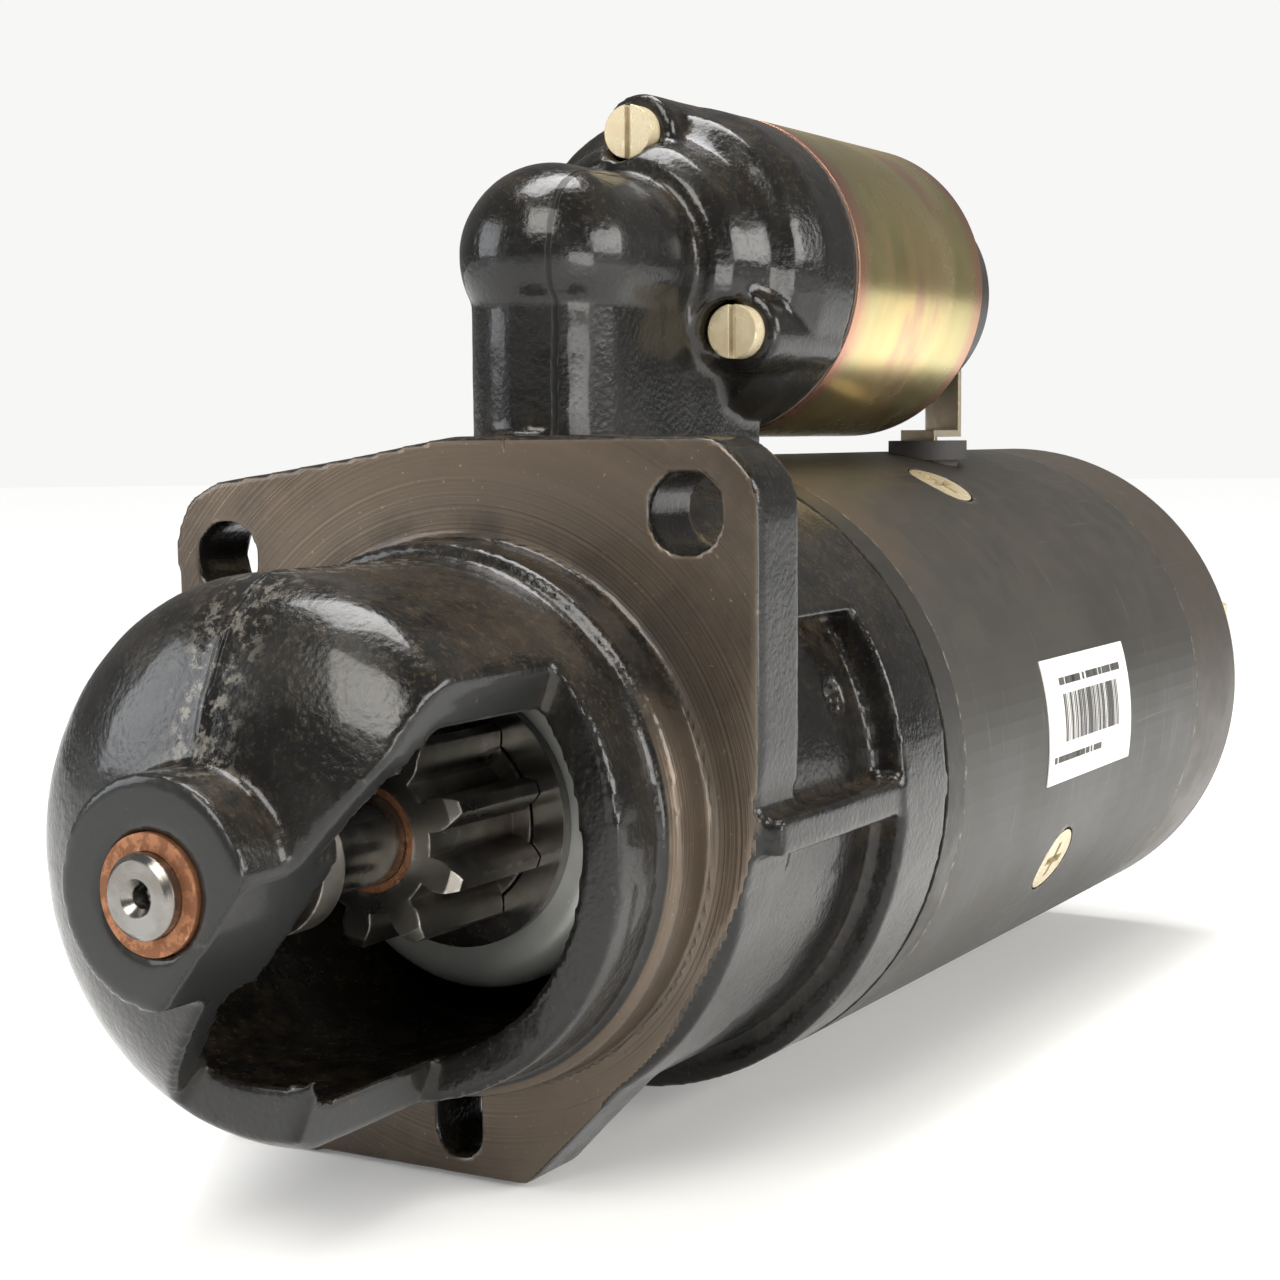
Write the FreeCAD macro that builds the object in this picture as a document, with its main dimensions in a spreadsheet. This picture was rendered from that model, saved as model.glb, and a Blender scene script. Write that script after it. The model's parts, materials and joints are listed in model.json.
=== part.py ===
import FreeCAD, Part
import math
import os

import Sketcher
from FreeCAD import Placement, Rotation, Vector

# A pre-engaged starter motor. Millimetres. The origin is on the shaft axis at the front mounting
# face of the flange: +X runs along the shaft towards the brushes, +Z points up to the solenoid.

doc = FreeCAD.newDocument("StarterMotor")

# ---------------------------------------------------------------- driving dimensions

DIMENSIONS = {
    # fits
    "running_gap": (0.05, "radial clearance of a shaft in its bush"),
    "bolt_gap": (0.3, "radial clearance of a bolt in a plain hole"),
    "working_gap": (0.3, "space between faces that pass each other"),
    "thread_gap": (0.05, "radial clearance of a screw in its tapped hole"),
    "plunger_gap": (0.1, "radial clearance of the plunger in its tube"),
    # stations along the shaft
    "shaft_tip": (-79.0, "front end of the shaft"),
    "boss_face": (-76.2, "front face of the nose boss"),
    "boss_rear": (-55.0, "rear face of the nose boss, inside the nose"),
    "dome_start": (-48.0, "where the round of the nose begins"),
    "window_rear": (-23.0, "rear edge of the pinion window"),
    "pilot_length": (10.0, "pilot spigot in front of the flange"),
    "flange_thickness": (14.0, "mounting flange"),
    "bay_rear": (46.5, "rear of the recessed bays in the barrel"),
    "housing_rear": (65.5, "rear face of the drive end housing"),
    "plate_rim": (7.6, "rim of the centre bearing plate"),
    "frame_length": (143.8, "length of the field frame"),
    "cover_length": (35.0, "length of the brush end cover"),
    # nose, pilot and flange
    "pilot_radius": (44.5, "pilot spigot"),
    "nose_radius": (42.0, "outside of the nose"),
    "nose_wall": (7.0, "wall of the nose"),
    "dome_length": (20.0, "depth of the round front of the nose"),
    "dome_wall": (6.0, "wall of the round front"),
    "boss_radius": (16.5, "boss that holds the front bush"),
    "facet_angle": (218.4, "direction the flat on the boss faces"),
    "facet_depth": (10.8, "flat on the boss, from the shaft axis"),
    "window_angle": (200.0, "direction the pinion window faces"),
    "window_depth": (20.0, "cut plane of the window, from the shaft axis"),
    "bolt_circle_radius": (63.5, "circle of the three mounting holes"),
    "mounting_hole_radius": (6.25, "mounting hole for an M12 bolt"),
    "lobe_radius": (12.4, "round of the flange about a mounting hole"),
    "first_hole_angle": (39.5, "angle of the first mounting hole"),
    "flange_top": (61.1, "top edge of the flange"),
    "flange_side": (53.3, "side edge of the flange"),
    "flange_foot": (60.8, "lowest edge of the flange"),
    "slot_width": (8.6, "drain slot in the flange"),
    "slot_offset": (2.6, "drain slot, sideways from the axis"),
    "slot_depth": (57.5, "bottom of the drain slot, from the axis"),
    # barrel
    "frame_radius": (57.0, "outside of the field frame and the barrel"),
    "frame_wall": (5.0, "wall of the field frame"),
    "bay_radius": (51.0, "floor of the recessed bays"),
    "bay_top": (31.0, "upper edge of a bay"),
    "rib_half": (3.0, "half the thickness of a barrel rib"),
    "barrel_bore": (41.0, "bore of the barrel"),
    "barrel_bore_start": (20.0, "where the barrel bore begins"),
    "drain_radius": (2.4, "small hole in the bay"),
    # solenoid
    "solenoid_height": (91.0, "solenoid axis above the shaft"),
    "solenoid_radius": (30.5, "outside of the solenoid case"),
    "solenoid_wall": (2.2, "wall of the solenoid case"),
    "bell_rear": (85.5, "rear face of the housing's bell"),
    "bell_front": (50.0, "front of the bell"),
    "gasket_thickness": (0.8, "gasket between bell and case"),
    "case_length": (61.5, "length of the solenoid case"),
    "case_plate": (5.0, "front plate of the solenoid case"),
    "cap_length": (23.2, "moulded cap behind the case"),
    "cap_radius": (23.0, "outside of the moulded cap"),
    "cap_wall": (4.0, "wall of the moulded cap"),
    "plunger_radius": (12.5, "solenoid plunger"),
    "plunger_front": (60.0, "front end of the plunger at rest"),
    "plunger_length": (50.5, "length of the plunger"),
    "core_gap": (17.5, "space between plunger and core at rest"),
    "core_length": (18.0, "length of the fixed core"),
    "core_bore": (3.3, "hole through the core for the contact rod"),
    "screw_circle": (24.0, "circle of the solenoid screws"),
    "screw_radius": (2.5, "solenoid screw"),
    "screw_head_radius": (4.75, "head of a solenoid screw"),
    "screw_head_height": (3.5, "height of a solenoid screw's head"),
    "lug_radius": (7.2, "lug round a solenoid screw"),
    "lug_front": (57.0, "front face of a screw lug"),
    "spring_bore": (20.5, "room for the return spring in the bell"),
    "tower_radius": (14.0, "rounded front of the lever tower"),
    "tower_centre": (28.0, "middle of the tower's round front"),
    "knob_radius": (16.0, "ball end over the plunger link"),
    "link_bore": (11.0, "room for the plunger link"),
    "stud_radius": (4.0, "main terminal studs"),
    "stud_rise": (10.5, "main studs above and below the solenoid axis"),
    "stud_side": (6.0, "main studs, sideways from the solenoid axis"),
    "stud_boss": (7.2, "moulded post around each main stud"),
    "stud_length": (20.0, "stud outside the cap"),
    "stud_free": (13.5, "threaded end of a main stud beyond its nut"),
    "stud_neck": (0.5, "how much thinner a stud is under its nut, in radius"),
    "nut_corner": (7.5, "corner radius of a main stud's nut"),
    "nut_height": (6.5, "height of a main stud's nut"),
    "trigger_radius": (2.5, "trigger stud"),
    "trigger_length": (13.0, "trigger stud outside the cap"),
    "trigger_free": (9.0, "threaded end of the trigger stud beyond its nut"),
    "trigger_side": (-12.0, "trigger stud, sideways from the solenoid axis"),
    "trigger_rise": (8.0, "trigger stud above the solenoid axis"),
    "contact_gap": (3.0, "gap between bridge and stud heads"),
    "bridge_front": (153.0, "front face of the contact bridge"),
    "bridge_radius": (17.5, "contact bridge"),
    "bridge_thickness": (2.0, "contact bridge"),
    # lever
    "pivot_x": (39.0, "lever pivot along the shaft"),
    "pivot_height": (47.0, "lever pivot above the shaft axis"),
    "pivot_radius": (4.0, "lever pivot bolt"),
    "pivot_seat": (33.0, "face under the pivot bolt's head, sideways from the axis"),
    "lever_slot_half": (8.0, "half the width of the lever slot"),
    "fork_inner": (23.5, "inside of the lever fork"),
    "fork_outer": (31.0, "outside of the lever fork"),
    "fork_width": (10.0, "lever fork along the shaft"),
    "shoe_radius": (3.2, "shoe of the lever fork"),
    "link_pin_radius": (3.0, "pin between lever and plunger link"),
    # drive
    "drive_travel": (18.0, "stroke of the pinion"),
    "pinion_front": (-27.5, "front face of the pinion at rest"),
    "pinion_width": (22.7, "toothed length of the pinion"),
    "pinion_teeth": (9.0, "teeth of the pinion"),
    "pinion_tip": (17.4, "tip radius of the pinion"),
    "pinion_root": (11.6, "root radius of the pinion"),
    "pinion_tail_radius": (15.0, "inner race behind the teeth"),
    "pinion_bush_radius": (8.5, "outside of the pinion bush"),
    "clutch_radius": (29.0, "outside of the clutch shell"),
    "clutch_front": (-2.5, "front of the clutch shell"),
    "clutch_depth": (26.5, "length of the clutch shell"),
    "clutch_race": (24.0, "outer race inside the clutch shell"),
    "cover_radius": (21.2, "clutch cover plate"),
    "roller_radius": (4.3, "clutch roller"),
    "roller_count": (5.0, "clutch rollers"),
    "sleeve_radius": (13.5, "driver sleeve"),
    "sleeve_end": (60.0, "rear end of the driver sleeve"),
    "collar_centre": (48.0, "middle of the guide collar groove"),
    "collar_radius": (22.0, "guide collar flanges"),
    "collar_groove": (17.4, "bottom of the collar groove"),
    "collar_length": (12.0, "guide collar"),
    # armature
    "front_journal": (5.95, "shaft in the front bush"),
    "front_bush_radius": (8.5, "outside of the front bush"),
    "pinion_journal": (7.05, "shaft under the pinion"),
    "spline_radius": (10.0, "shaft under the driver sleeve"),
    "centre_journal": (11.0, "shaft in the centre bush"),
    "centre_bush_radius": (13.9, "outside of the centre bush"),
    "rear_journal": (6.5, "shaft in the rear bush"),
    "rear_bush_radius": (9.5, "outside of the rear bush"),
    "core_front": (98.0, "front of the laminated core"),
    "core_stack": (78.0, "length of the laminated core"),
    "core_radius": (33.4, "laminated core"),
    "slot_count": (23.0, "slots of the laminated core"),
    "bar_half": (1.4, "half the width of a winding bar"),
    "commutator_radius": (21.0, "commutator"),
    "commutator_front": (188.0, "front of the commutator"),
    "commutator_length": (23.5, "commutator"),
    "segment_count": (29.0, "commutator segments"),
    # poles and brushes
    "pole_bore": (34.5, "bore between the pole shoes"),
    "pole_angle": (27.0, "angle of the first pole"),
    "pole_length": (74.0, "length of a pole shoe"),
    "pole_half": (13.0, "half the width of a pole body"),
    "pole_tip_half": (18.5, "half the width of a pole face"),
    "coil_half": (24.0, "half the width of a field coil"),
    "coil_overhang": (8.5, "field coil beyond the pole shoe"),
    "pole_screw_radius": (4.0, "pole screw shank"),
    "pole_screw_head": (7.2, "pole screw head"),
    "brush_half": (4.0, "half the thickness of a brush"),
    "brush_width": (16.0, "brush along the shaft"),
    "brush_length": (18.5, "brush, radially"),
    "plate_station": (212.0, "front face of the brush plate"),
    "plate_thickness": (2.0, "brush plate"),
    "through_bolt_radius": (3.0, "through bolt"),
    "through_bolt_circle": (48.0, "through bolts from the axis"),
    "through_bolt_angle": (162.0, "angle of the first through bolt"),
    # ends and small pieces
    "cover_wall": (4.0, "wall of the brush end cover"),
    "cover_round": (4.0, "rounded rear edge of the cover"),
    "hub_radius": (14.0, "hub of the brush end cover"),
    "cap_screw_circle": (17.8, "screws of the rear cap"),
    "label_length": (50.0, "label along the frame"),
    "label_half": (12.3, "half the width of the label"),
    "label_angle": (175.5, "middle of the label round the frame"),
    "label_front": (116.7, "front edge of the label"),
    "lead_station": (163.0, "field lead along the frame"),
    "lead_side": (-12.0, "field lead, sideways"),
    "lead_hole": (6.5, "hole in the frame for the field lead"),
}

sheet = doc.addObject("Spreadsheet::Sheet", "Dims")
for row, (alias, (size, meaning)) in enumerate(DIMENSIONS.items(), start=1):
    sheet.set(f"A{row}", meaning)
    sheet.set(f"B{row}", str(size))
    sheet.setAlias(f"B{row}", alias)
doc.recompute()

FRAME_FRONT = "(Dims.housing_rear + Dims.plate_rim)"
FRAME_REAR = "(Dims.housing_rear + Dims.plate_rim + Dims.frame_length)"
COVER_REAR = "(Dims.housing_rear + Dims.plate_rim + Dims.frame_length + Dims.cover_length)"
FRAME_BORE = "(Dims.frame_radius - Dims.frame_wall)"
CASE_FRONT = "(Dims.bell_rear + Dims.gasket_thickness)"
CASE_REAR = "(Dims.bell_rear + Dims.gasket_thickness + Dims.case_length)"
CAP_REAR = "(Dims.bell_rear + Dims.gasket_thickness + Dims.case_length + Dims.cap_length)"
PLUNGER_REAR = "(Dims.plunger_front + Dims.plunger_length)"
CORE_FACE = "(Dims.plunger_front + Dims.plunger_length + Dims.core_gap)"
CORE_REAR = "(Dims.plunger_front + Dims.plunger_length + Dims.core_gap + Dims.core_length)"
POLE_FRONT = "(Dims.core_front + (Dims.core_stack - Dims.pole_length) / 2)"
POLE_REAR = "(Dims.core_front + (Dims.core_stack + Dims.pole_length) / 2)"
POLE_MIDDLE = "(Dims.core_front + Dims.core_stack / 2)"
PINION_REAR = "(Dims.pinion_front + Dims.pinion_width)"
CLUTCH_REAR = "(Dims.clutch_front + Dims.clutch_depth)"
COLLAR_FRONT = "(Dims.collar_centre - Dims.collar_length / 2)"
COLLAR_REAR = "(Dims.collar_centre + Dims.collar_length / 2)"
STUD_HEAD_FACE = "(Dims.bridge_front + Dims.bridge_thickness + Dims.contact_gap)"

# turning a primitive's own Z axis onto a row axis
ALONG_X = Rotation(Vector(0, 1, 0), 90)
ALONG_Y = Rotation(Vector(1, 0, 0), -90)
ALONG_Z = Rotation()


def dim(alias):
    """The number that a cell of the sheet holds."""
    return float(sheet.get(alias))


def polar(radius, angle):
    """Expressions for the Y and Z of a point at a radius and an angle in degrees."""
    return f"{radius} * cos({angle} * 1deg)", f"{radius} * sin({angle} * 1deg)"


def bind(item, **expressions):
    for prop, expression in expressions.items():
        item.setExpression(prop.replace("__", "."), expression)
    return item


def place(item, x="0", y="0", z="0"):
    return bind(item, Placement__Base__x=x, Placement__Base__y=y, Placement__Base__z=z)


# ---------------------------------------------------------------- shape helpers

def cylinder(name, radius, length, x="0", y="0", z="0", turn=ALONG_X):
    item = doc.addObject("Part::Cylinder", name)
    item.Placement.Rotation = turn
    return place(bind(item, Radius=radius, Height=length), x, y, z)


def cone(name, radius_1, radius_2, length, x="0", y="0", z="0", turn=ALONG_X):
    item = doc.addObject("Part::Cone", name)
    item.Placement.Rotation = turn
    return place(bind(item, Radius1=radius_1, Radius2=radius_2, Height=length), x, y, z)


def prism(name, corner_radius, length, x="0", y="0", z="0", turn=ALONG_X):
    """A hexagonal nut or bolt head."""
    item = doc.addObject("Part::Prism", name)
    item.Polygon = 6
    item.Placement.Rotation = turn
    return place(bind(item, Circumradius=corner_radius, Height=length), x, y, z)


def box(name, x_span, y_span, z_span):
    """A box between pairs of expressions along each axis."""
    item = doc.addObject("Part::Box", name)
    sizes = [f"{high} - ({low})" for low, high in (x_span, y_span, z_span)]
    bind(item, Length=sizes[0], Width=sizes[1], Height=sizes[2])
    return place(item, x_span[0], y_span[0], z_span[0])


def ellipsoid(name, length, radius, x):
    """Half-lengths along the shaft and across it, centred on the shaft axis."""
    item = doc.addObject("Part::Ellipsoid", name)
    item.Placement.Rotation = ALONG_X
    bind(item, Radius1=length, Radius2=radius, Radius3=radius)
    return place(item, x)


def fuse(name, *pieces):
    item = doc.addObject("Part::MultiFuse", name)
    item.Shapes = list(pieces)
    item.Refine = False
    return item


def common(name, *pieces):
    item = doc.addObject("Part::MultiCommon", name)
    item.Shapes = list(pieces)
    return item


def group(name, *pieces):
    """Separate solids kept together as one node."""
    item = doc.addObject("Part::Compound", name)
    item.Links = list(pieces)
    return item


def cut(name, base, *tools):
    item = doc.addObject("Part::Cut", name)
    item.Base = base
    item.Tool = tools[0] if len(tools) == 1 else fuse(name + "_tools", *tools)
    item.Refine = False
    return item


def tube(name, inner, outer, length, x="0", z="0"):
    core = cylinder(name + "_bore", inner, f"{length} + 2", f"{x} - 1", "0", z)
    return cut(name, cylinder(name + "_outside", outer, length, x, "0", z), core)


def about_shaft(item, angle):
    """Turn a finished piece about the shaft axis."""
    item.Placement = Placement(Vector(), Rotation(Vector(1, 0, 0), angle))
    return item


def plane_of(body, role):
    return next(item for item in body.Origin.OriginFeatures if item.Role == role)


def outline(body, role, corners):
    """A closed outline of straight lines, each corner held by two bound distances."""
    sketch = body.newObject("Sketcher::SketchObject", body.Name + "_outline")
    sketch.AttachmentSupport = [(plane_of(body, role), "")]
    sketch.MapMode = "FlatFace"
    count = len(corners)
    turns = [2 * math.pi * index / count for index in range(count)]
    first_guess = [Vector(10 * math.cos(turn), 10 * math.sin(turn), 0) for turn in turns]
    for index in range(count):
        sketch.addGeometry(Part.LineSegment(first_guess[index], first_guess[(index + 1) % count]))
    for index in range(count):
        sketch.addConstraint(Sketcher.Constraint("Coincident", index, 2, (index + 1) % count, 1))
    for index, (across, up) in enumerate(corners):
        guess = first_guess[index]
        for axis, expression, value in (("X", across, guess.x), ("Y", up, guess.y)):
            label = f"{axis.lower()}{index}"
            held = Sketcher.Constraint("Distance" + axis, -1, 1, index, 1, value)
            sketch.renameConstraint(sketch.addConstraint(held), label)
            sketch.setExpression("Constraints." + label, expression)
    return sketch


def turned(label, corners, z="0"):
    """A body of revolution: corners are (station, radius) about an axis along X at a height."""
    body = doc.addObject("PartDesign::Body", label)
    sketch = outline(body, "XZ_Plane", corners)
    spin = body.newObject("PartDesign::Revolution", label + "_spin")
    spin.Profile = sketch
    spin.ReferenceAxis = (sketch, ["H_Axis"])
    spin.Angle = 360
    return place(body, "0", "0", z)


def ring(label, inner, outer, front, rear, z="0"):
    corners = [(front, inner), (rear, inner), (rear, outer), (front, outer)]
    return turned(label, corners, z)


def padded(label, role, corners, depth, both_ways=False):
    body = doc.addObject("PartDesign::Body", label)
    pad = body.newObject("PartDesign::Pad", label + "_pad")
    pad.Profile = outline(body, role, corners)
    pad.setExpression("Length", depth)
    if both_ways:
        pad.SideType = "Symmetric"
    return body


def straight_edges(shape, places):
    """Names of the edges along X that stand at the given (y, z) places."""
    names = []
    for index, edge in enumerate(shape.Edges, start=1):
        ends = [vertex.Point for vertex in edge.Vertexes]
        if len(ends) != 2 or abs(ends[0].x - ends[1].x) < 1:
            continue
        if any(math.hypot(ends[0].y - y, ends[0].z - z) < 0.01 for y, z in places):
            names.append(f"Edge{index}")
    return names


def round_edges(shape, station, radius):
    """Names of the circular edges at a station with a radius."""
    names = []
    for index, edge in enumerate(shape.Edges, start=1):
        curve = edge.Curve
        if isinstance(curve, Part.Circle) and abs(curve.Radius - radius) < 0.01:
            if abs(curve.Center.x - station) < 0.01:
                names.append(f"Edge{index}")
    return names


def outline_corners(body):
    """The solved corners of a body's outline sketch, in order."""
    sketch = next(item for item in body.Group if item.TypeId == "Sketcher::SketchObject")
    return [line.StartPoint for line in sketch.Geometry]


def fillet(body, names, radius):
    base = body.Tip
    item = body.newObject("PartDesign::Fillet", body.Name + "_round")
    item.Base = (base, names)
    item.setExpression("Radius", radius)
    doc.recompute()
    return body


def coil_spring(label, radius, wire, front, length, half_turns, z="0"):
    """A coil about an axis along X, made of half rings that lean left and right in turn."""
    rise = f"(({length}) / {half_turns})"
    turns = []
    for index in range(half_turns):
        ring_half = doc.addObject("Part::Torus", label + "_half_ring")
        bind(ring_half, Radius1=f"sqrt(pow({radius}; 2) + pow({rise} / 2; 2))", Radius2=wire)
        ring_half.Angle3 = 180
        ring_half.Placement.Rotation = Rotation(Vector(0, 1, 0), 1)
        bind(ring_half, Placement__Rotation__Angle=f"atan({rise} / 2 / {radius})")
        turn = group(label + "_half_turn", ring_half)
        turn.Placement.Rotation = ALONG_X * Rotation(Vector(0, 0, 1), 180 * index)
        turns.append(place(turn, f"{front} + ({index} + 0.5) * {rise}", "0", z))
    return fuse(label, *turns)


# ---------------------------------------------------------------- drive end housing

HOLE_ANGLES = ["Dims.first_hole_angle", "(Dims.first_hole_angle + 90)",
               "(Dims.first_hole_angle - 90)"]
SCREW_ANGLES = ["90", "210", "330"]
THROUGH_BOLT_ANGLES = ["Dims.through_bolt_angle", "(Dims.through_bolt_angle + 180)"]


def flange_plate():
    """The three-eared mounting flange, its corners rounded about the bolt holes."""
    reach = "Dims.bolt_circle_radius"
    (left_y, left_z), (right_y, _), (low_y, low_z) = (polar(reach, a) for a in HOLE_ANGLES)
    corners = [
        (f"{left_y} + Dims.lobe_radius", f"{left_z} + Dims.lobe_radius * 0.95"),
        ("Dims.flange_side / 2", "Dims.flange_top - 4"),
        ("2.5", "Dims.flange_top"),
        ("-Dims.flange_side", "Dims.flange_top"),
        ("-Dims.flange_side", "12"),
        ("-Dims.bay_radius", "-8"),
        ("-35.4", "-34.6"),
        ("-10.5", "-Dims.flange_foot"),
        (f"{low_y} + Dims.lobe_radius", f"{low_z} - Dims.lobe_radius"),
    ]
    body = padded("flange", "YZ_Plane", corners, "Dims.flange_thickness")
    doc.recompute()
    points = outline_corners(body)
    rounds = (((0, 3, 8), "Dims.lobe_radius"), ((4, 5, 6), "20"), ((1, 2, 7), "6"))
    for indices, radius in rounds:
        places = [(points[index].x, points[index].y) for index in indices]
        fillet(body, straight_edges(body.Shape, places), radius)
    return body


def nose():
    """Pilot, nose barrel, round front and the boss of the front bush."""
    pilot = cylinder("pilot", "Dims.pilot_radius", "Dims.pilot_length + 1", "-Dims.pilot_length")
    shell = cylinder("nose_shell", "Dims.nose_radius", "1 - Dims.dome_start", "Dims.dome_start")
    dome = ellipsoid("nose_dome", "Dims.dome_length", "Dims.nose_radius", "Dims.dome_start")
    boss = cylinder("nose_boss", "Dims.boss_radius", "Dims.dome_start - Dims.boss_face",
                    "Dims.boss_face")
    return [pilot, shell, dome, boss]


def barrel():
    """The barrel behind the flange, with recessed bays between its ribs and rear rim."""
    rear = "Dims.housing_rear"
    core = cylinder("barrel_core", "Dims.bay_radius", f"{rear} - 1", "1")
    rim = cylinder("barrel_rim", "Dims.frame_radius", f"{rear} - Dims.bay_rear", "Dims.bay_rear")
    wide = "Dims.frame_radius + 1"
    shoulder_box = box("shoulder_box", ("1", "Dims.bay_rear + 1"), (f"-({wide})", wide),
                       ("Dims.bay_top", wide))
    shoulder_round = cylinder("shoulder_round", "Dims.frame_radius", "Dims.bay_rear", "1")
    rib_box = box("rib_box", ("1", "Dims.bay_rear + 1"), (f"-({wide})", wide),
                  ("-Dims.rib_half", "Dims.rib_half"))
    keel_box = box("keel_box", ("1", "Dims.bay_rear + 1"), ("-Dims.rib_half", "Dims.rib_half"),
                   (f"-({wide})", "0"))
    rib_round = cylinder("rib_round", "Dims.frame_radius - 0.5", "Dims.bay_rear", "1")
    shoulder = common("shoulder", shoulder_box, shoulder_round)
    ribs = common("barrel_ribs", fuse("rib_boxes", rib_box, keel_box), rib_round)
    return [core, rim, shoulder, ribs]


def tower():
    """The lever tower, the ball end over the plunger link and the solenoid bell."""
    height = "Dims.solenoid_height"
    front = cylinder("tower_front", "Dims.tower_radius", f"{height} - Dims.bay_radius + 8",
                     "Dims.tower_centre", "0", "Dims.bay_radius - 8", ALONG_Z)
    side = "Dims.tower_radius"
    stem = box("tower_stem", ("Dims.tower_centre", "Dims.housing_rear"), (f"-{side}", side),
               ("Dims.bay_radius - 8", height))
    web = box("tower_web", ("Dims.housing_rear - 4", "Dims.bell_rear - 7"), (f"-{side}", side),
              ("Dims.frame_radius + 1.5", height))
    knob = doc.addObject("Part::Sphere", "tower_knob")
    place(bind(knob, Radius="Dims.knob_radius"), "Dims.tower_centre", "0", height)
    neck = cylinder("tower_neck", "Dims.knob_radius", "Dims.bell_front - Dims.tower_centre + 1",
                    "Dims.tower_centre", "0", height)
    bell = turned("bell", [
        ("Dims.bell_front", "0"),
        ("Dims.bell_front", "Dims.knob_radius + 3"),
        ("Dims.bell_front + 3", "Dims.knob_radius + 6"),
        ("Dims.bell_front + 11", "Dims.knob_radius + 8.5"),
        ("Dims.bell_front + 14", "Dims.solenoid_radius - 2"),
        ("Dims.bell_front + 22", "Dims.solenoid_radius"),
        ("Dims.bell_rear", "Dims.solenoid_radius"),
        ("Dims.bell_rear", "0"),
    ], height)
    lugs = []
    for angle in SCREW_ANGLES:
        y, z = polar("Dims.screw_circle", angle)
        lugs.append(cylinder("screw_lug", "Dims.lug_radius", "Dims.bell_rear - Dims.lug_front",
                             "Dims.lug_front", y, f"{height} + {z}"))
    return [front, stem, web, knob, neck, bell] + lugs


def pivot_boss():
    """The boss on the far side that the lever pivot bolt screws into."""
    return cylinder("pivot_boss", "Dims.pivot_radius + 5", f"Dims.pivot_seat - 13", "Dims.pivot_x",
                    "13", "Dims.pivot_height", ALONG_Y)


def nose_cavity():
    """The hollow of the nose, with the boss left standing in it."""
    inner = "(Dims.nose_radius - Dims.nose_wall)"
    bore = cylinder("cavity_bore", inner, "Dims.barrel_bore_start - Dims.dome_start + 1",
                    "Dims.dome_start")
    round_end = ellipsoid("cavity_round", "Dims.dome_length - Dims.dome_wall", inner,
                          "Dims.dome_start")
    keep = cylinder("boss_keep", "Dims.boss_radius", "40", "Dims.boss_rear - 40")
    return cut("nose_cavity", fuse("cavity_solid", bore, round_end), keep)


def slab(name, angle, depth, front, rear):
    """Everything beyond a plane parallel to the shaft, between two stations."""
    reach = "2 * Dims.nose_radius"
    item = box(name + "_block", (front, rear), (f"-({reach})", reach), (depth, f"{depth} + {reach}"))
    holder = doc.addObject("Part::Compound", name)
    holder.Links = [item]
    holder.Placement = Placement(Vector(), Rotation(Vector(1, 0, 0), angle - 90))
    return holder


def drain_slot():
    """The open slot at the foot of the flange."""
    half = "Dims.slot_width / 2"
    centre = "Dims.slot_offset"
    length = "Dims.flange_thickness + 2"
    shank = box("slot_shank", ("-1", "Dims.flange_thickness + 1"),
                (f"{centre} - {half}", f"{centre} + {half}"),
                (f"-(Dims.slot_depth - {half})", "-(Dims.pilot_radius + 0.6)"))
    end = cylinder("slot_end", half, length, "-1", centre, f"-(Dims.slot_depth - {half})")
    return fuse("drain_slot", shank, end)


def housing_holes():
    """Bores for bushes, bolts, screws, the lever and the solenoid plunger."""
    height = "Dims.solenoid_height"
    holes = [
        cylinder("bush_bore", "Dims.front_bush_radius", "30", "Dims.boss_face - 1"),
        cylinder("barrel_bore", "Dims.barrel_bore", "60", "Dims.barrel_bore_start"),
        box("lever_slot", ("Dims.tower_centre - 11", "Dims.housing_rear - 5"),
            ("-Dims.lever_slot_half", "Dims.lever_slot_half"), ("30", height)),
        cylinder("link_room", "Dims.link_bore", "45", "Dims.tower_centre - 11", "0", height),
        cylinder("spring_room", "Dims.spring_bore", "40", "Dims.bell_front + 6", "0", height),
        cylinder("pivot_bore", "Dims.pivot_radius + Dims.running_gap", "70", "Dims.pivot_x", "-22",
                 "Dims.pivot_height", ALONG_Y),
        cylinder("pivot_seat", "Dims.pivot_radius + 5", "30", "Dims.pivot_x", "Dims.pivot_seat",
                 "Dims.pivot_height", ALONG_Y),
        cylinder("drain_hole", "Dims.drain_radius", "8", "38", "-53", "17.5", ALONG_Y),
    ]
    for angle in HOLE_ANGLES:
        y, z = polar("Dims.bolt_circle_radius", angle)
        holes.append(cylinder("mounting_hole", "Dims.mounting_hole_radius",
                              "Dims.flange_thickness + 2", "-1", y, z))
    for angle in SCREW_ANGLES:
        y, z = polar("Dims.screw_circle", angle)
        z = f"{height} + {z}"
        holes.append(cylinder("screw_hole", "Dims.screw_radius + Dims.bolt_gap", "40",
                              "Dims.bell_front", y, z))
        holes.append(cylinder("screw_seat", "Dims.screw_head_radius + 0.8", "10",
                              "Dims.lug_front - 10", y, z))
    for angle in THROUGH_BOLT_ANGLES:
        y, z = polar("Dims.through_bolt_circle", angle)
        holes.append(cylinder("bolt_thread", "Dims.through_bolt_radius + Dims.thread_gap", "16",
                              "Dims.housing_rear - 15", y, z))
    return holes


def drive_end_housing():
    body = fuse("housing_solid", flange_plate(), *nose(), *barrel(), *tower(), pivot_boss())
    window = slab("pinion_window", dim("window_angle"), "Dims.window_depth",
                  "Dims.boss_face - 5", "Dims.window_rear")
    facet = slab("boss_facet", dim("facet_angle"), "Dims.facet_depth", "Dims.boss_face - 5",
                 "Dims.boss_rear")
    return cut("drive_end_housing", body, nose_cavity(), window, facet, drain_slot(),
               *housing_holes())


def front_bush():
    return ring("front_bush", "Dims.front_journal + Dims.running_gap", "Dims.front_bush_radius",
                "Dims.boss_face - 0.4", "Dims.boss_rear")


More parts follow.
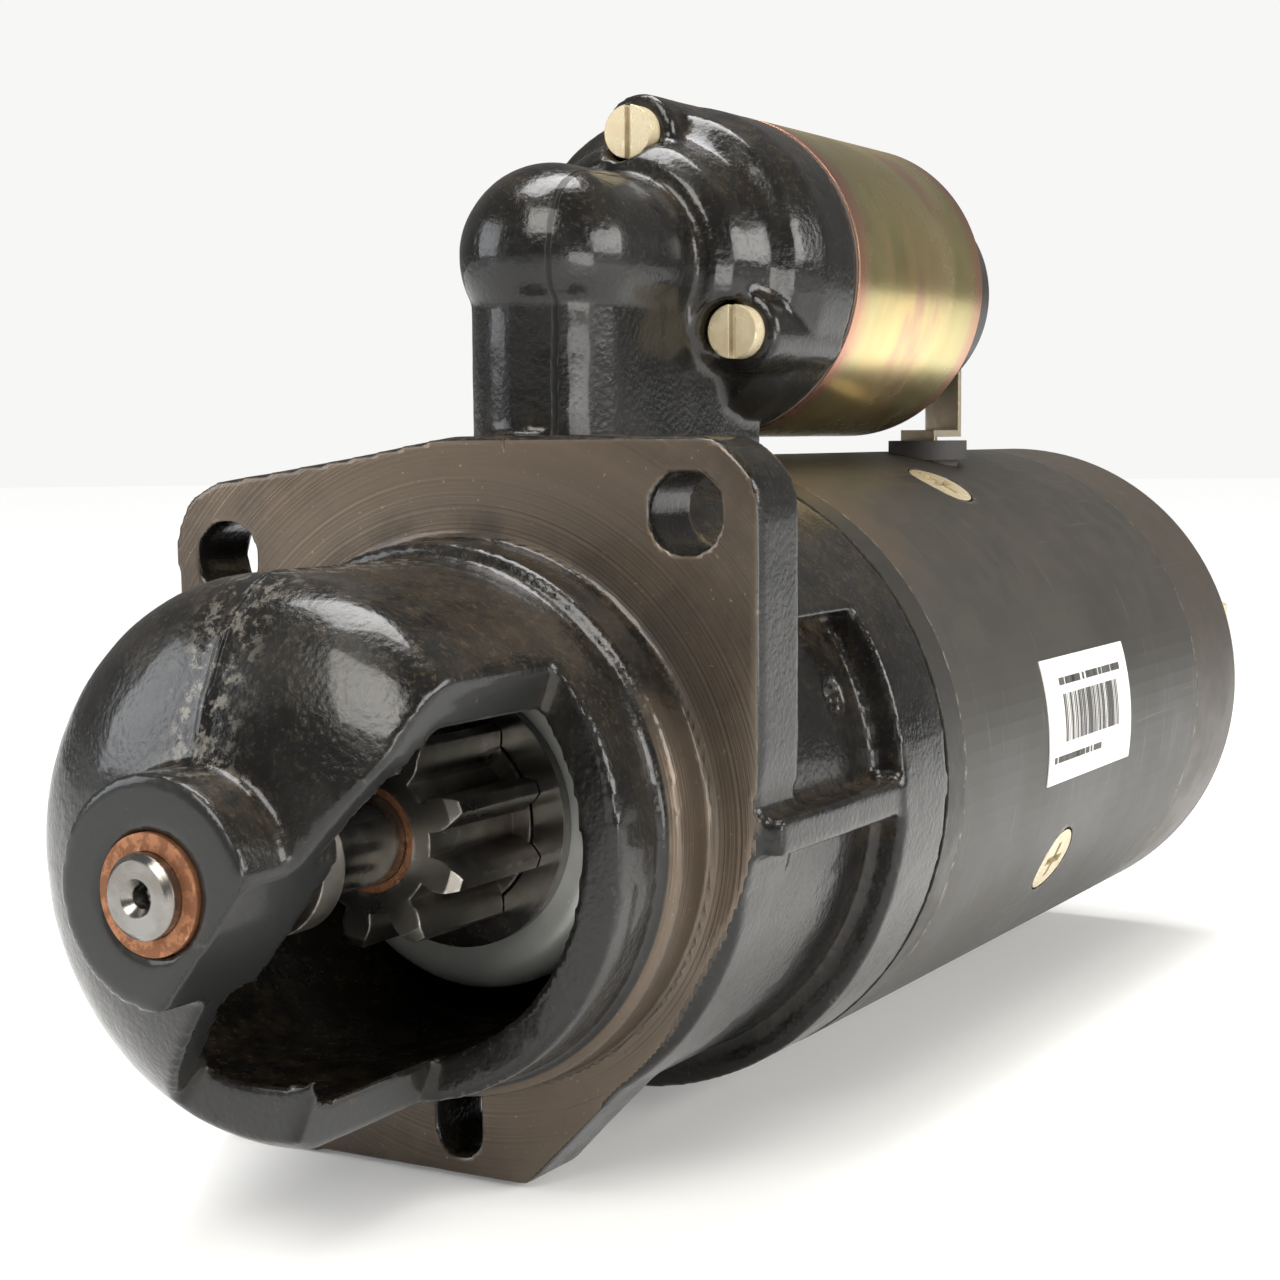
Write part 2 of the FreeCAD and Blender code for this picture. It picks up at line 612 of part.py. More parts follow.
def solenoid_screws():
    """Three slotted cheese-head screws through the lugs into the case's front plate."""
    screws = []
    for angle in SCREW_ANGLES:
        y, z = polar("Dims.screw_circle", angle)
        z = f"Dims.solenoid_height + {z}"
        shank = cylinder("screw_shank", "Dims.screw_radius",
                         f"{CASE_FRONT} + Dims.case_plate - 1 - Dims.lug_front", "Dims.lug_front",
                         y, z)
        head = cylinder("screw_head", "Dims.screw_head_radius", "Dims.screw_head_height",
                        "Dims.lug_front - Dims.screw_head_height", y, z)
        slot = box("screw_slot", ("Dims.lug_front - 5", "Dims.lug_front - 2"),
                   (f"{y} - 0.6", f"{y} + 0.6"), (f"{z} - 6", f"{z} + 6"))
        screws.append(cut("solenoid_screw", fuse("screw_solid", shank, head), slot))
    return group("solenoid_screws", *screws)


# ---------------------------------------------------------------- centre plate and field frame

def bolt_clearances(name, front, rear):
    holes = []
    for angle in THROUGH_BOLT_ANGLES:
        y, z = polar("Dims.through_bolt_circle", angle)
        holes.append(cylinder(name, "Dims.through_bolt_radius + Dims.bolt_gap",
                              f"{rear} - ({front})", front, y, z))
    return holes


def centre_bearing_plate():
    """The plate between housing and field frame that holds the centre bush."""
    spigot = f"({FRAME_BORE} - Dims.thread_gap)"
    rim_floor = "(Dims.through_bolt_circle - 5)"
    blank = turned("centre_plate_blank", [
        ("Dims.housing_rear", "Dims.centre_bush_radius"),
        ("Dims.housing_rear", "Dims.frame_radius"),
        (FRAME_FRONT, "Dims.frame_radius"),
        (FRAME_FRONT, spigot),
        (f"{FRAME_FRONT} + 2.5", spigot),
        (f"{FRAME_FRONT} + 2.5", rim_floor),
        ("Dims.housing_rear + 5", rim_floor),
        ("Dims.housing_rear + 5", "Dims.centre_bush_radius + 4.5"),
        ("Dims.housing_rear + 14.5", "Dims.centre_bush_radius + 4.5"),
        ("Dims.housing_rear + 14.5", "Dims.centre_bush_radius"),
    ])
    holes = bolt_clearances("centre_plate_hole", "Dims.housing_rear - 1", f"{FRAME_FRONT} + 4")
    return cut("centre_bearing_plate", blank, *holes)


def centre_bush():
    return ring("centre_bush", "Dims.centre_journal + Dims.running_gap", "Dims.centre_bush_radius",
                "Dims.housing_rear + 0.5", "Dims.housing_rear + 14.5")


def pole_screw_tool(name, gap):
    """The space of one pole screw, pointing up, grown by a gap."""
    top = "Dims.frame_radius"
    head = cone(name + "_head", f"Dims.pole_screw_radius + {gap}", f"Dims.pole_screw_head + {gap}",
                "Dims.pole_screw_head - Dims.pole_screw_radius",
                POLE_MIDDLE, "0", f"{top} - (Dims.pole_screw_head - Dims.pole_screw_radius) - 0.3",
                ALONG_Z)
    lip = cylinder(name + "_lip", f"Dims.pole_screw_head + {gap}", f"0.3 + 4 * {gap}",
                   POLE_MIDDLE, "0", f"{top} - 0.301", ALONG_Z)
    shank = cylinder(name + "_shank", f"Dims.pole_screw_radius + {gap}", f"{top} - 42",
                     POLE_MIDDLE, "0", f"41 - {gap}", ALONG_Z)
    return fuse(name, head, lip, shank)


def at_each_pole(maker):
    """Four copies of a piece, one at each pole."""
    return [about_shaft(maker(), dim("pole_angle") + 90 * turn - 90) for turn in range(4)]


def four_round(name, maker):
    return group(name, *at_each_pole(maker))


def field_frame():
    """The rolled steel yoke, with countersinks for the pole screws and the lead hole."""
    blank = tube("frame_tube", FRAME_BORE, "Dims.frame_radius", "Dims.frame_length", FRAME_FRONT)
    sinks = four_round("frame_sinks", lambda: pole_screw_tool("frame_sink", "0.2"))
    lead = cylinder("lead_hole", "Dims.lead_hole", "30", "Dims.lead_station", "Dims.lead_side",
                    "Dims.frame_radius - 20", ALONG_Z)
    return cut("field_frame", cut("frame_with_sinks", blank, sinks), lead)


def pole_shoe():
    """One pole: a broad face round the armature and a narrower body against the frame."""
    body_tube = tube("pole_body_tube", "Dims.pole_bore", FRAME_BORE, "Dims.pole_length", POLE_FRONT)
    body_box = box("pole_body_box", (POLE_FRONT, POLE_REAR), ("-Dims.pole_half", "Dims.pole_half"),
                   ("20", "Dims.frame_radius"))
    tip_tube = tube("pole_tip_tube", "Dims.pole_bore", "Dims.pole_bore + 4", "Dims.pole_length",
                    POLE_FRONT)
    tip_box = box("pole_tip_box", (POLE_FRONT, POLE_REAR),
                  ("-Dims.pole_tip_half", "Dims.pole_tip_half"), ("20", "Dims.frame_radius"))
    solid = fuse("pole_solid", common("pole_body", body_tube, body_box),
                 common("pole_tip", tip_tube, tip_box))
    return cut("pole_shoe", solid, pole_screw_tool("pole_thread", "Dims.thread_gap"))


def field_coil():
    """A taped strip winding that goes round one pole body."""
    inner = "(Dims.pole_bore + 4.5)"
    long_tube = tube("coil_tube", inner, f"{FRAME_BORE} - 0.5",
                     "Dims.pole_length + 2 * Dims.coil_overhang",
                     f"{POLE_FRONT} - Dims.coil_overhang")
    reach = (f"{POLE_FRONT} - Dims.coil_overhang", f"{POLE_REAR} + Dims.coil_overhang")
    outer_box = box("coil_box", reach, ("-Dims.coil_half", "Dims.coil_half"),
                    ("20", "Dims.frame_radius"))
    window = box("coil_window", (f"{POLE_FRONT} - 0.4", f"{POLE_REAR} + 0.4"),
                 ("-(Dims.pole_half + 0.4)", "Dims.pole_half + 0.4"), ("20", "Dims.frame_radius"))
    return cut("field_coil", common("coil_solid", long_tube, outer_box), window)


def pole_screw():
    """A countersunk screw with a cross recess."""
    solid = common("pole_screw_solid", pole_screw_tool("pole_screw_blank", "0"),
                   cylinder("pole_screw_trim", "Dims.frame_radius - 0.1", "60",
                            f"{POLE_MIDDLE} - 30"))
    top = ("Dims.frame_radius - 2.5", "Dims.frame_radius + 2")
    blades = [box("recess", (f"{POLE_MIDDLE} - {along}", f"{POLE_MIDDLE} + {along}"),
                  (f"-{across}", across), top) for along, across in (("4", "0.9"), ("0.9", "4"))]
    return cut("pole_screw", solid, *blades)


# ---------------------------------------------------------------- brush gear and rear cover

HOLDER_FRONT = "(Dims.plate_station - Dims.brush_width - 3)"
BRUSH_FRONT = "(Dims.plate_station - Dims.brush_width - 1.7)"
BRUSH_FOOT = "(Dims.commutator_radius + Dims.working_gap)"
BRUSH_TOP = "(Dims.commutator_radius + Dims.working_gap + Dims.brush_length)"


def spring_post():
    """The post that a brush spring is wound on."""
    return cylinder("spring_post", "2.4", "15", "Dims.plate_station - 14", "Dims.brush_half + 8",
                    f"{BRUSH_TOP} - 3")


def brush_plate():
    blank = ring("brush_plate_blank", "Dims.commutator_radius + 3", f"{FRAME_BORE} - 0.2",
                 "Dims.plate_station", "Dims.plate_station + Dims.plate_thickness")
    posts = at_each_pole(lambda: group("spring_post_turned", spring_post()))
    holes = bolt_clearances("brush_plate_hole", "Dims.plate_station - 1", "Dims.plate_station + 4")
    return cut("brush_plate", fuse("plate_with_posts", blank, *posts), *holes)


def brush_holder():
    """A sheet brass box, open towards the commutator."""
    wall = "Dims.brush_half + 1.5"
    outer = box("holder_outer", (HOLDER_FRONT, "Dims.plate_station"), (f"-({wall})", wall),
                ("Dims.commutator_radius + 4", f"{BRUSH_TOP} - 1.5"))
    gap = "Dims.brush_half + Dims.working_gap"
    inner = box("holder_inner",
                (f"{BRUSH_FRONT} - Dims.working_gap",
                 f"{BRUSH_FRONT} + Dims.brush_width + Dims.working_gap"),
                (f"-({gap})", gap), ("Dims.commutator_radius", f"{BRUSH_TOP} + 5"))
    return cut("brush_holder", outer, inner)


def brush():
    block = box("brush_block", (BRUSH_FRONT, f"{BRUSH_FRONT} + Dims.brush_width"),
                ("-Dims.brush_half", "Dims.brush_half"), ("Dims.commutator_radius - 2", BRUSH_TOP))
    hollow = cylinder("brush_hollow", BRUSH_FOOT, "60", f"{BRUSH_FRONT} - 20")
    return cut("brush", block, hollow)


def brush_spring():
    """A flat spiral on its post, with an arm that presses on the brush."""
    front = "Dims.plate_station - 13"
    side = "(Dims.brush_half + 8)"
    spiral_out = cylinder("spiral_out", "3.6", "6", front, side, f"{BRUSH_TOP} - 3")
    spiral_in = cylinder("spiral_in", "2.6", "8", f"{front} - 1", side, f"{BRUSH_TOP} - 3")
    arm = box("spring_arm", (front, f"{front} + 6"), ("-2", side), (f"{BRUSH_TOP} + 0.05",
                                                                  f"{BRUSH_TOP} + 0.6"))
    return cut("brush_spring", fuse("spring_solid", spiral_out, arm), spiral_in)


def brushes_and_springs():
    for turn in range(4):
        angle = dim("pole_angle") + 90 * turn - 90
        for label, maker in (("brush", brush), ("brush_spring", brush_spring)):
            about_shaft(maker(), angle).Label = f"{label}_{turn + 1}"


def brush_end_cover():
    """The rear cup: a register in the frame, a skirt, a rear wall and the bush hub."""
    spigot = f"({FRAME_BORE} - Dims.thread_gap)"
    inside = "(Dims.frame_radius - Dims.cover_wall)"
    wall = f"({COVER_REAR} - Dims.cover_wall - 1)"
    blank = turned("cover_blank", [
        ("Dims.plate_station + Dims.plate_thickness", "Dims.through_bolt_circle - 5"),
        ("Dims.plate_station + Dims.plate_thickness", spigot),
        (FRAME_REAR, spigot),
        (FRAME_REAR, "Dims.frame_radius"),
        (COVER_REAR, "Dims.frame_radius"),
        (COVER_REAR, "Dims.rear_bush_radius"),
        (f"{COVER_REAR} - 18", "Dims.rear_bush_radius"),
        (f"{COVER_REAR} - 18", "Dims.hub_radius"),
        (wall, "Dims.hub_radius"),
        (wall, inside),
        (f"{FRAME_REAR} + 4", inside),
        (f"{FRAME_REAR} + 4", "Dims.through_bolt_circle - 5"),
    ])
    doc.recompute()
    rear = dim("housing_rear") + dim("plate_rim") + dim("frame_length") + dim("cover_length")
    fillet(blank, round_edges(blank.Shape, rear, dim("frame_radius")), "Dims.cover_round")
    holes = bolt_clearances("cover_hole", "Dims.plate_station - 1", f"{COVER_REAR} + 1")
    for side in ("-1", "1"):
        holes.append(cylinder("cap_screw_thread", "2 + Dims.thread_gap", "8", f"{COVER_REAR} - 7",
                              f"{side} * Dims.cap_screw_circle"))
    return cut("brush_end_cover", blank, *holes)


def rear_bush():
    return ring("rear_bush", "Dims.rear_journal + Dims.running_gap", "Dims.rear_bush_radius",
                f"{COVER_REAR} - 17.5", f"{COVER_REAR} - 0.5")


def rear_cap():
    """The small pressed cap over the rear end of the shaft."""
    blank = turned("cap_blank", [
        (COVER_REAR, "12.5"),
        (COVER_REAR, "22.2"),
        (f"{COVER_REAR} + 1.5", "22.2"),
        (f"{COVER_REAR} + 1.5", "14"),
        (f"{COVER_REAR} + 6.8", "14"),
        (f"{COVER_REAR} + 6.8", "0"),
        (f"{COVER_REAR} + 5.3", "0"),
        (f"{COVER_REAR} + 5.3", "12.5"),
    ])
    holes = [cylinder("cap_hole", "2 + Dims.bolt_gap", "4", f"{COVER_REAR} - 1",
                      f"{side} * Dims.cap_screw_circle") for side in ("-1", "1")]
    return cut("rear_cap", blank, *holes)


def rear_cap_screws():
    screws = []
    for side in ("-1", "1"):
        y = f"{side} * Dims.cap_screw_circle"
        shank = cylinder("cap_screw_shank", "2", "8", f"{COVER_REAR} - 6", y)
        head = cylinder("cap_screw_head", "3.4", "2.2", f"{COVER_REAR} + 1.5", y)
        slot = box("cap_screw_slot", (f"{COVER_REAR} + 2.6", f"{COVER_REAR} + 5"),
                   (f"{y} - 0.5", f"{y} + 0.5"), ("-5", "5"))
        screws.append(cut("cap_screw", fuse("cap_screw_solid", shank, head), slot))
    return group("rear_cap_screws", *screws)


def through_bolts():
    """Two long hexagon bolts that clamp cover, frame and centre plate to the housing."""
    bolts = []
    for angle in THROUGH_BOLT_ANGLES:
        y, z = polar("Dims.through_bolt_circle", angle)
        rod = cylinder("through_rod", "Dims.through_bolt_radius",
                       f"{COVER_REAR} + 16 - (Dims.housing_rear - 14)", "Dims.housing_rear - 14",
                       y, z)
        nut = prism("through_nut", "6.35", "9", f"{COVER_REAR} + 0.8", y, z)
        washer = cylinder("through_washer", "6.2", "0.9", COVER_REAR, y, z)
        bolts.append(fuse("through_bolt", rod, nut, washer))
    return group("through_bolts", *bolts)


def label():
    """The paper label on the frame."""
    sleeve = tube("label_sleeve", "Dims.frame_radius", "Dims.frame_radius + 0.25",
                  "Dims.label_length", "Dims.label_front")
    patch = box("label_patch", ("Dims.label_front", "Dims.label_front + Dims.label_length"),
                ("-Dims.label_half", "Dims.label_half"), ("20", "Dims.frame_radius + 2"))
    return about_shaft(common("label", sleeve, patch), dim("label_angle") - 90)


# ---------------------------------------------------------------- solenoid

AXIS = "Dims.solenoid_height"


def solenoid_gasket():
    blank = ring("gasket_blank", "Dims.plunger_radius + 3", "Dims.solenoid_radius - 0.3",
                 "Dims.bell_rear", CASE_FRONT, AXIS)
    holes = []
    for angle in SCREW_ANGLES:
        y, z = polar("Dims.screw_circle", angle)
        holes.append(cylinder("gasket_hole", "Dims.screw_radius + Dims.bolt_gap", "4",
                              "Dims.bell_rear - 1", y, f"{AXIS} + {z}"))
    return cut("solenoid_gasket", blank, *holes)


def solenoid_case():
    """A drawn steel can with a thick front plate that the screws bite into."""
    bore = "(Dims.plunger_radius + Dims.plunger_gap)"
    inside = "(Dims.solenoid_radius - Dims.solenoid_wall)"
    blank = turned("case_blank", [
        (CASE_FRONT, bore),
        (CASE_FRONT, "Dims.solenoid_radius"),
        (CASE_REAR, "Dims.solenoid_radius"),
        (CASE_REAR, inside),
        (f"{CASE_FRONT} + Dims.case_plate", inside),
        (f"{CASE_FRONT} + Dims.case_plate", bore),
    ], AXIS)
    holes = []
    for angle in SCREW_ANGLES:
        y, z = polar("Dims.screw_circle", angle)
        holes.append(cylinder("case_thread", "Dims.screw_radius + Dims.thread_gap",
                              "Dims.case_plate", f"{CASE_FRONT} - 0.5", y, f"{AXIS} + {z}"))
    return cut("solenoid_case", blank, *holes)


def solenoid_winding():
    """The pull-in and hold-in winding on its brass tube."""
    return ring("solenoid_winding", "Dims.plunger_radius + Dims.plunger_gap",
                "Dims.solenoid_radius - Dims.solenoid_wall - 0.5",
                f"{CASE_FRONT} + Dims.case_plate", f"{CORE_REAR} - 8", AXIS)


def solenoid_core():
    """The fixed iron core and its end disc."""
    return turned("solenoid_core", [
        (CORE_FACE, "Dims.core_bore"),
        (CORE_FACE, "Dims.plunger_radius - 0.1"),
        (f"{CORE_REAR} - 7.5", "Dims.plunger_radius - 0.1"),
        (f"{CORE_REAR} - 7.5", "Dims.solenoid_radius - Dims.solenoid_wall"),
        (CORE_REAR, "Dims.solenoid_radius - Dims.solenoid_wall"),
        (CORE_REAR, "Dims.core_bore"),
    ], AXIS)


def main_stud(name, side, gap="0"):
    """A terminal stud whose head is the fixed contact; side is 1 or -1."""
    y = f"{side} * Dims.stud_side"
    z = f"{AXIS} + {side} * Dims.stud_rise"
    head = cylinder(name + "_head", f"5 + {gap}", "4", STUD_HEAD_FACE, y, z)
    thread_start = f"({CAP_REAR} + Dims.stud_length - Dims.stud_free)"
    neck = cylinder(name + "_neck", f"Dims.stud_radius - Dims.stud_neck + {gap}",
                    f"{thread_start} - {STUD_HEAD_FACE}", STUD_HEAD_FACE, y, z)
    thread = cylinder(name + "_thread", f"Dims.stud_radius + {gap}", "Dims.stud_free",
                      thread_start, y, z)
    return fuse(name, head, neck, thread)


def solenoid_cap():
    """The black moulded cap that carries the terminals."""
    spigot = "(Dims.solenoid_radius - Dims.solenoid_wall - 0.05)"
    inside = "(Dims.cap_radius - Dims.cap_wall)"
    blank = turned("cap_moulding", [
        (CORE_REAR, inside),
        (CORE_REAR, spigot),
        (CASE_REAR, spigot),
        (CASE_REAR, "Dims.cap_radius"),
        (CAP_REAR, "Dims.cap_radius"),
        (CAP_REAR, "0"),
        (f"{CAP_REAR} - Dims.cap_wall", "0"),
        (f"{CAP_REAR} - Dims.cap_wall", inside),
    ], AXIS)
    bosses = [cylinder("stud_boss", "Dims.stud_boss", f"{CAP_REAR} - {STUD_HEAD_FACE} - 4",
                       f"{STUD_HEAD_FACE} + 4", f"{side} * Dims.stud_side",
                       f"{AXIS} + {side} * Dims.stud_rise") for side in ("1", "-1")]
    holes = [main_stud("stud_bore", side, "Dims.thread_gap") for side in ("1", "-1")]
    holes.append(cylinder("trigger_bore", "Dims.trigger_radius", "30", f"{CAP_REAR} - 20",
                          "Dims.trigger_side", f"{AXIS} + Dims.trigger_rise"))
    return cut("solenoid_cap", fuse("cap_solid", blank, *bosses), *holes)


def trigger_terminal():
    """The small stud that the ignition switch feeds."""
    y, z = "Dims.trigger_side", f"{AXIS} + Dims.trigger_rise"
    inside = f"({CAP_REAR} - Dims.cap_wall)"
    thread_start = f"({CAP_REAR} + Dims.trigger_length - Dims.trigger_free)"
    head = cylinder("trigger_head", "4", "2", f"{inside} - 2", y, z)
    neck = cylinder("trigger_neck", "Dims.trigger_radius - Dims.stud_neck",
                    f"{thread_start} - {inside} + 1", f"{inside} - 1", y, z)
    thread = cylinder("trigger_thread", "Dims.trigger_radius", "Dims.trigger_free", thread_start,
                      y, z)
    return fuse("trigger_terminal", head, neck, thread)


def nut(name, corner_radius, bore, length, x, y, z):
    hole = cylinder(name + "_bore", bore, f"{length} + 2", f"{x} - 1", y, z)
    return cut(name, prism(name + "_blank", corner_radius, length, x, y, z), hole)


def terminal_nuts():
    """Nuts of the two main studs and of the small stud."""
    corner, height = "Dims.nut_corner", "Dims.nut_height"
    bore = "Dims.stud_radius - Dims.stud_neck + Dims.thread_gap"
    thread_bore = "Dims.stud_radius + Dims.thread_gap"
    small_bore = "Dims.trigger_radius - Dims.stud_neck + Dims.thread_gap"
    upper = ("Dims.stud_side", f"{AXIS} + Dims.stud_rise")
    lower = ("-Dims.stud_side", f"{AXIS} - Dims.stud_rise")
    return group(
        "terminal_nuts",
        nut("battery_nut", corner, bore, height, CAP_REAR, *upper),
        nut("motor_nut_inner", corner, bore, "5", CAP_REAR, *lower),
        nut("motor_nut_outer", corner, thread_bore, height, f"{CAP_REAR} + 6.5", *lower),
        nut("trigger_nut", "4.6", small_bore, "4", CAP_REAR, "Dims.trigger_side",
            f"{AXIS} + Dims.trigger_rise"),
    )


STRAP_BACK = f"({CAP_REAR} + 5)"
STRAP_LEVEL = "(Dims.frame_radius + 3.2)"


def field_lead_strap():
    """The copper strap from the motor stud down through the frame to the field coils."""
    thick = "1.5"
    foot = f"{FRAME_BORE} + 0.8"
    strip = padded("strap_strip", "XZ_Plane", [
        (STRAP_BACK, f"{AXIS} - Dims.stud_rise + 8"),
        (f"{STRAP_BACK} + {thick}", f"{AXIS} - Dims.stud_rise + 8"),
        (f"{STRAP_BACK} + {thick}", STRAP_LEVEL),
        ("Dims.lead_station + 0.75", STRAP_LEVEL),
        ("Dims.lead_station + 0.75", foot),
        ("Dims.lead_station - 0.75", foot),
        ("Dims.lead_station - 0.75", f"{STRAP_LEVEL} + {thick}"),
        (STRAP_BACK, f"{STRAP_LEVEL} + {thick}"),
    ], "8", True)
    place(strip, "0", "Dims.lead_side + 2")
    y = "-Dims.stud_side"
    z = f"{AXIS} - Dims.stud_rise"
    eye = cylinder("strap_eye", "8", thick, STRAP_BACK, y, z)
    hole = cylinder("strap_hole", "Dims.stud_radius + Dims.bolt_gap", "4", f"{STRAP_BACK} - 1", y, z)
    return cut("field_lead_strap", fuse("strap_solid", strip, eye), hole)


def strap_grommet():
    """The rubber grommet in the frame that the strap passes through."""
    plug = cylinder("grommet_plug", "Dims.lead_hole", "Dims.frame_wall", "Dims.lead_station",
                    "Dims.lead_side", "Dims.frame_radius - Dims.frame_wall", ALONG_Z)
    head = cylinder("grommet_head", "Dims.lead_hole + 2", "4.2", "Dims.lead_station",
                    "Dims.lead_side", "Dims.frame_radius - 1.8", ALONG_Z)
    trim = cylinder("grommet_trim", "Dims.frame_radius", "40", "Dims.lead_station - 20")
    slot = box("grommet_slot", ("Dims.lead_station - 0.8", "Dims.lead_station + 0.8"),
               ("Dims.lead_side - 2.1", "Dims.lead_side + 6.1"),
               ("Dims.frame_radius - 12", "Dims.frame_radius + 8"))
    under = box("grommet_under", ("Dims.lead_station - 20", "Dims.lead_station + 20"),
                ("Dims.lead_side - 20", "Dims.lead_side + 20"), ("0", "Dims.frame_radius - 6"))
    head_above = cut("grommet_rim", head, trim)
    return cut("strap_grommet", fuse("grommet_solid", plug, head_above), slot, under)


# ---------------------------------------------------------------- plunger, contacts and lever

UPPER_ARM = "(Dims.solenoid_height - Dims.pivot_height)"
LINK_X = f"(Dims.pivot_x - {UPPER_ARM} * Dims.drive_travel / 2 / Dims.pivot_height)"


def plunger():
    """The iron plunger, with a collar at its front that the return spring pushes on."""
    front = "Dims.plunger_front"
    return turned("plunger", [
        (front, "4.05"),
        (front, "17.5"),
        (f"{front} + 2.5", "17.5"),
        (f"{front} + 2.5", "Dims.plunger_radius"),
        (PLUNGER_REAR, "Dims.plunger_radius"),
        (PLUNGER_REAR, "0"),
        (f"{front} + 25", "0"),
        (f"{front} + 25", "4.05"),
    ], AXIS)


def plunger_link():
    """The eye and rod that join the plunger to the lever, with the link pin."""
    eye = cylinder("link_eye", "8", "5", LINK_X, "-2.5", AXIS, ALONG_Y)
    rod = cylinder("link_rod", "4", f"Dims.plunger_front + 24 - ({LINK_X} + 7)", f"{LINK_X} + 7",
                   "0", AXIS)
    bar = cylinder("link_pin", "Dims.link_pin_radius", "13.4", LINK_X, "-6.7", AXIS, ALONG_Y)
    return fuse("plunger_link", eye, rod, bar)


def plunger_return_spring():
    return coil_spring("plunger_return_spring", "15", "0.9", "Dims.plunger_front + 4",
                       f"{CASE_FRONT} - Dims.plunger_front - 6.5", 9, AXIS)


def contact_rod():
    """The insulated rod that the plunger pushes at the end of its stroke."""
    front = f"({PLUNGER_REAR} + Dims.drive_travel)"
    return turned("contact_rod", [
        (front, "0"),
        (front, "Dims.core_bore - Dims.working_gap"),
        ("Dims.bridge_front", "Dims.core_bore - Dims.working_gap"),
        ("Dims.bridge_front", "2.4"),
        ("Dims.bridge_front + Dims.bridge_thickness + 1.5", "2.4"),
        ("Dims.bridge_front + Dims.bridge_thickness + 1.5", "0"),
    ], AXIS)


def contact_bridge():
    return ring("contact_bridge", "2.45", "Dims.bridge_radius", "Dims.bridge_front",
                "Dims.bridge_front + Dims.bridge_thickness", AXIS)


def contact_return_spring():
    start = "(Dims.bridge_front + Dims.bridge_thickness + 0.6)"
    return coil_spring("contact_return_spring", "4", "0.5", start,
                       f"{CAP_REAR} - Dims.cap_wall - {start} - 0.6", 8, AXIS)


def shift_lever():
    """The forked lever, drawn upright about its pivot and then leaned to its rest place."""
    width = "Dims.fork_width"
    down = "-Dims.pivot_height"
    fork_outside = cylinder("fork_outside", "Dims.fork_outer", width, f"-{width} / 2", "0", down)
    fork_inside = cylinder("fork_inside", "Dims.fork_inner", f"{width} + 4", f"-{width} / 2 - 2",
                           "0", down)
    upper_half = box("fork_half", (f"-{width} / 2", f"{width} / 2"),
                     ("-Dims.fork_outer", "Dims.fork_outer"), (down, f"{down} + Dims.fork_outer"))
    arch = common("fork_arch", cut("fork_ring", fork_outside, fork_inside), upper_half)
    pieces = [arch]
    for side in ("-1", "1"):
        middle = f"{side} * (Dims.fork_inner + 2.75)"
        pieces.append(box("fork_prong", ("-4", "4"), (f"{middle} - 2.75", f"{middle} + 2.75"),
                          (f"{down} - 4", f"{down} + 4")))
        reach = "(Dims.fork_inner - Dims.collar_groove + 1)"
        start = f"{side} * (Dims.collar_groove + 0.5 + {reach} / 2) - {reach} / 2"
        pieces.append(cylinder("fork_shoe", "Dims.shoe_radius", reach, "0", start, down, ALONG_Y))
    hub = cylinder("lever_hub", "9", "15", "0", "-7.5", "0", ALONG_Y)
    stem = box("lever_stem", ("-5", "5"), ("-6.2", "6.2"), (f"{down} + Dims.fork_outer - 1.5", "0"))
    arm = box("lever_arm", ("-5", "5"), ("-6.2", "6.2"), ("0", f"{UPPER_ARM} + 7.5"))
    solid = fuse("lever_solid", hub, stem, arm, *pieces)
    bore = cylinder("lever_bore", "Dims.pivot_radius + Dims.running_gap", "20", "0", "-10", "0",
                    ALONG_Y)
    gap = box("lever_gap", ("-8", "8"), ("-3", "3"), (f"{UPPER_ARM} - 10", f"{UPPER_ARM} + 9"))
    slot_half = "Dims.link_pin_radius + Dims.working_gap"
    slot = box("lever_eye", (f"-({slot_half})", slot_half), ("-8", "8"),
               (f"{UPPER_ARM} - 4.2", f"{UPPER_ARM} + 4.6"))
    lever = cut("shift_lever", solid, bore, gap, slot)
    lean = math.degrees(math.asin(dim("drive_travel") / 2 / dim("pivot_height")))
    lever.Placement.Rotation = Rotation(Vector(0, 1, 0), -lean)
    return place(lever, "Dims.pivot_x", "0", "Dims.pivot_height")


def lever_pivot_bolt():
    rod = cylinder("pivot_rod", "Dims.pivot_radius", "54", "Dims.pivot_x", "-21",
                   "Dims.pivot_height", ALONG_Y)
    head = prism("pivot_head", "7.5", "5", "Dims.pivot_x", "Dims.pivot_seat", "Dims.pivot_height",
                 ALONG_Y)
    return fuse("lever_pivot_bolt", rod, head)


# ---------------------------------------------------------------- drive

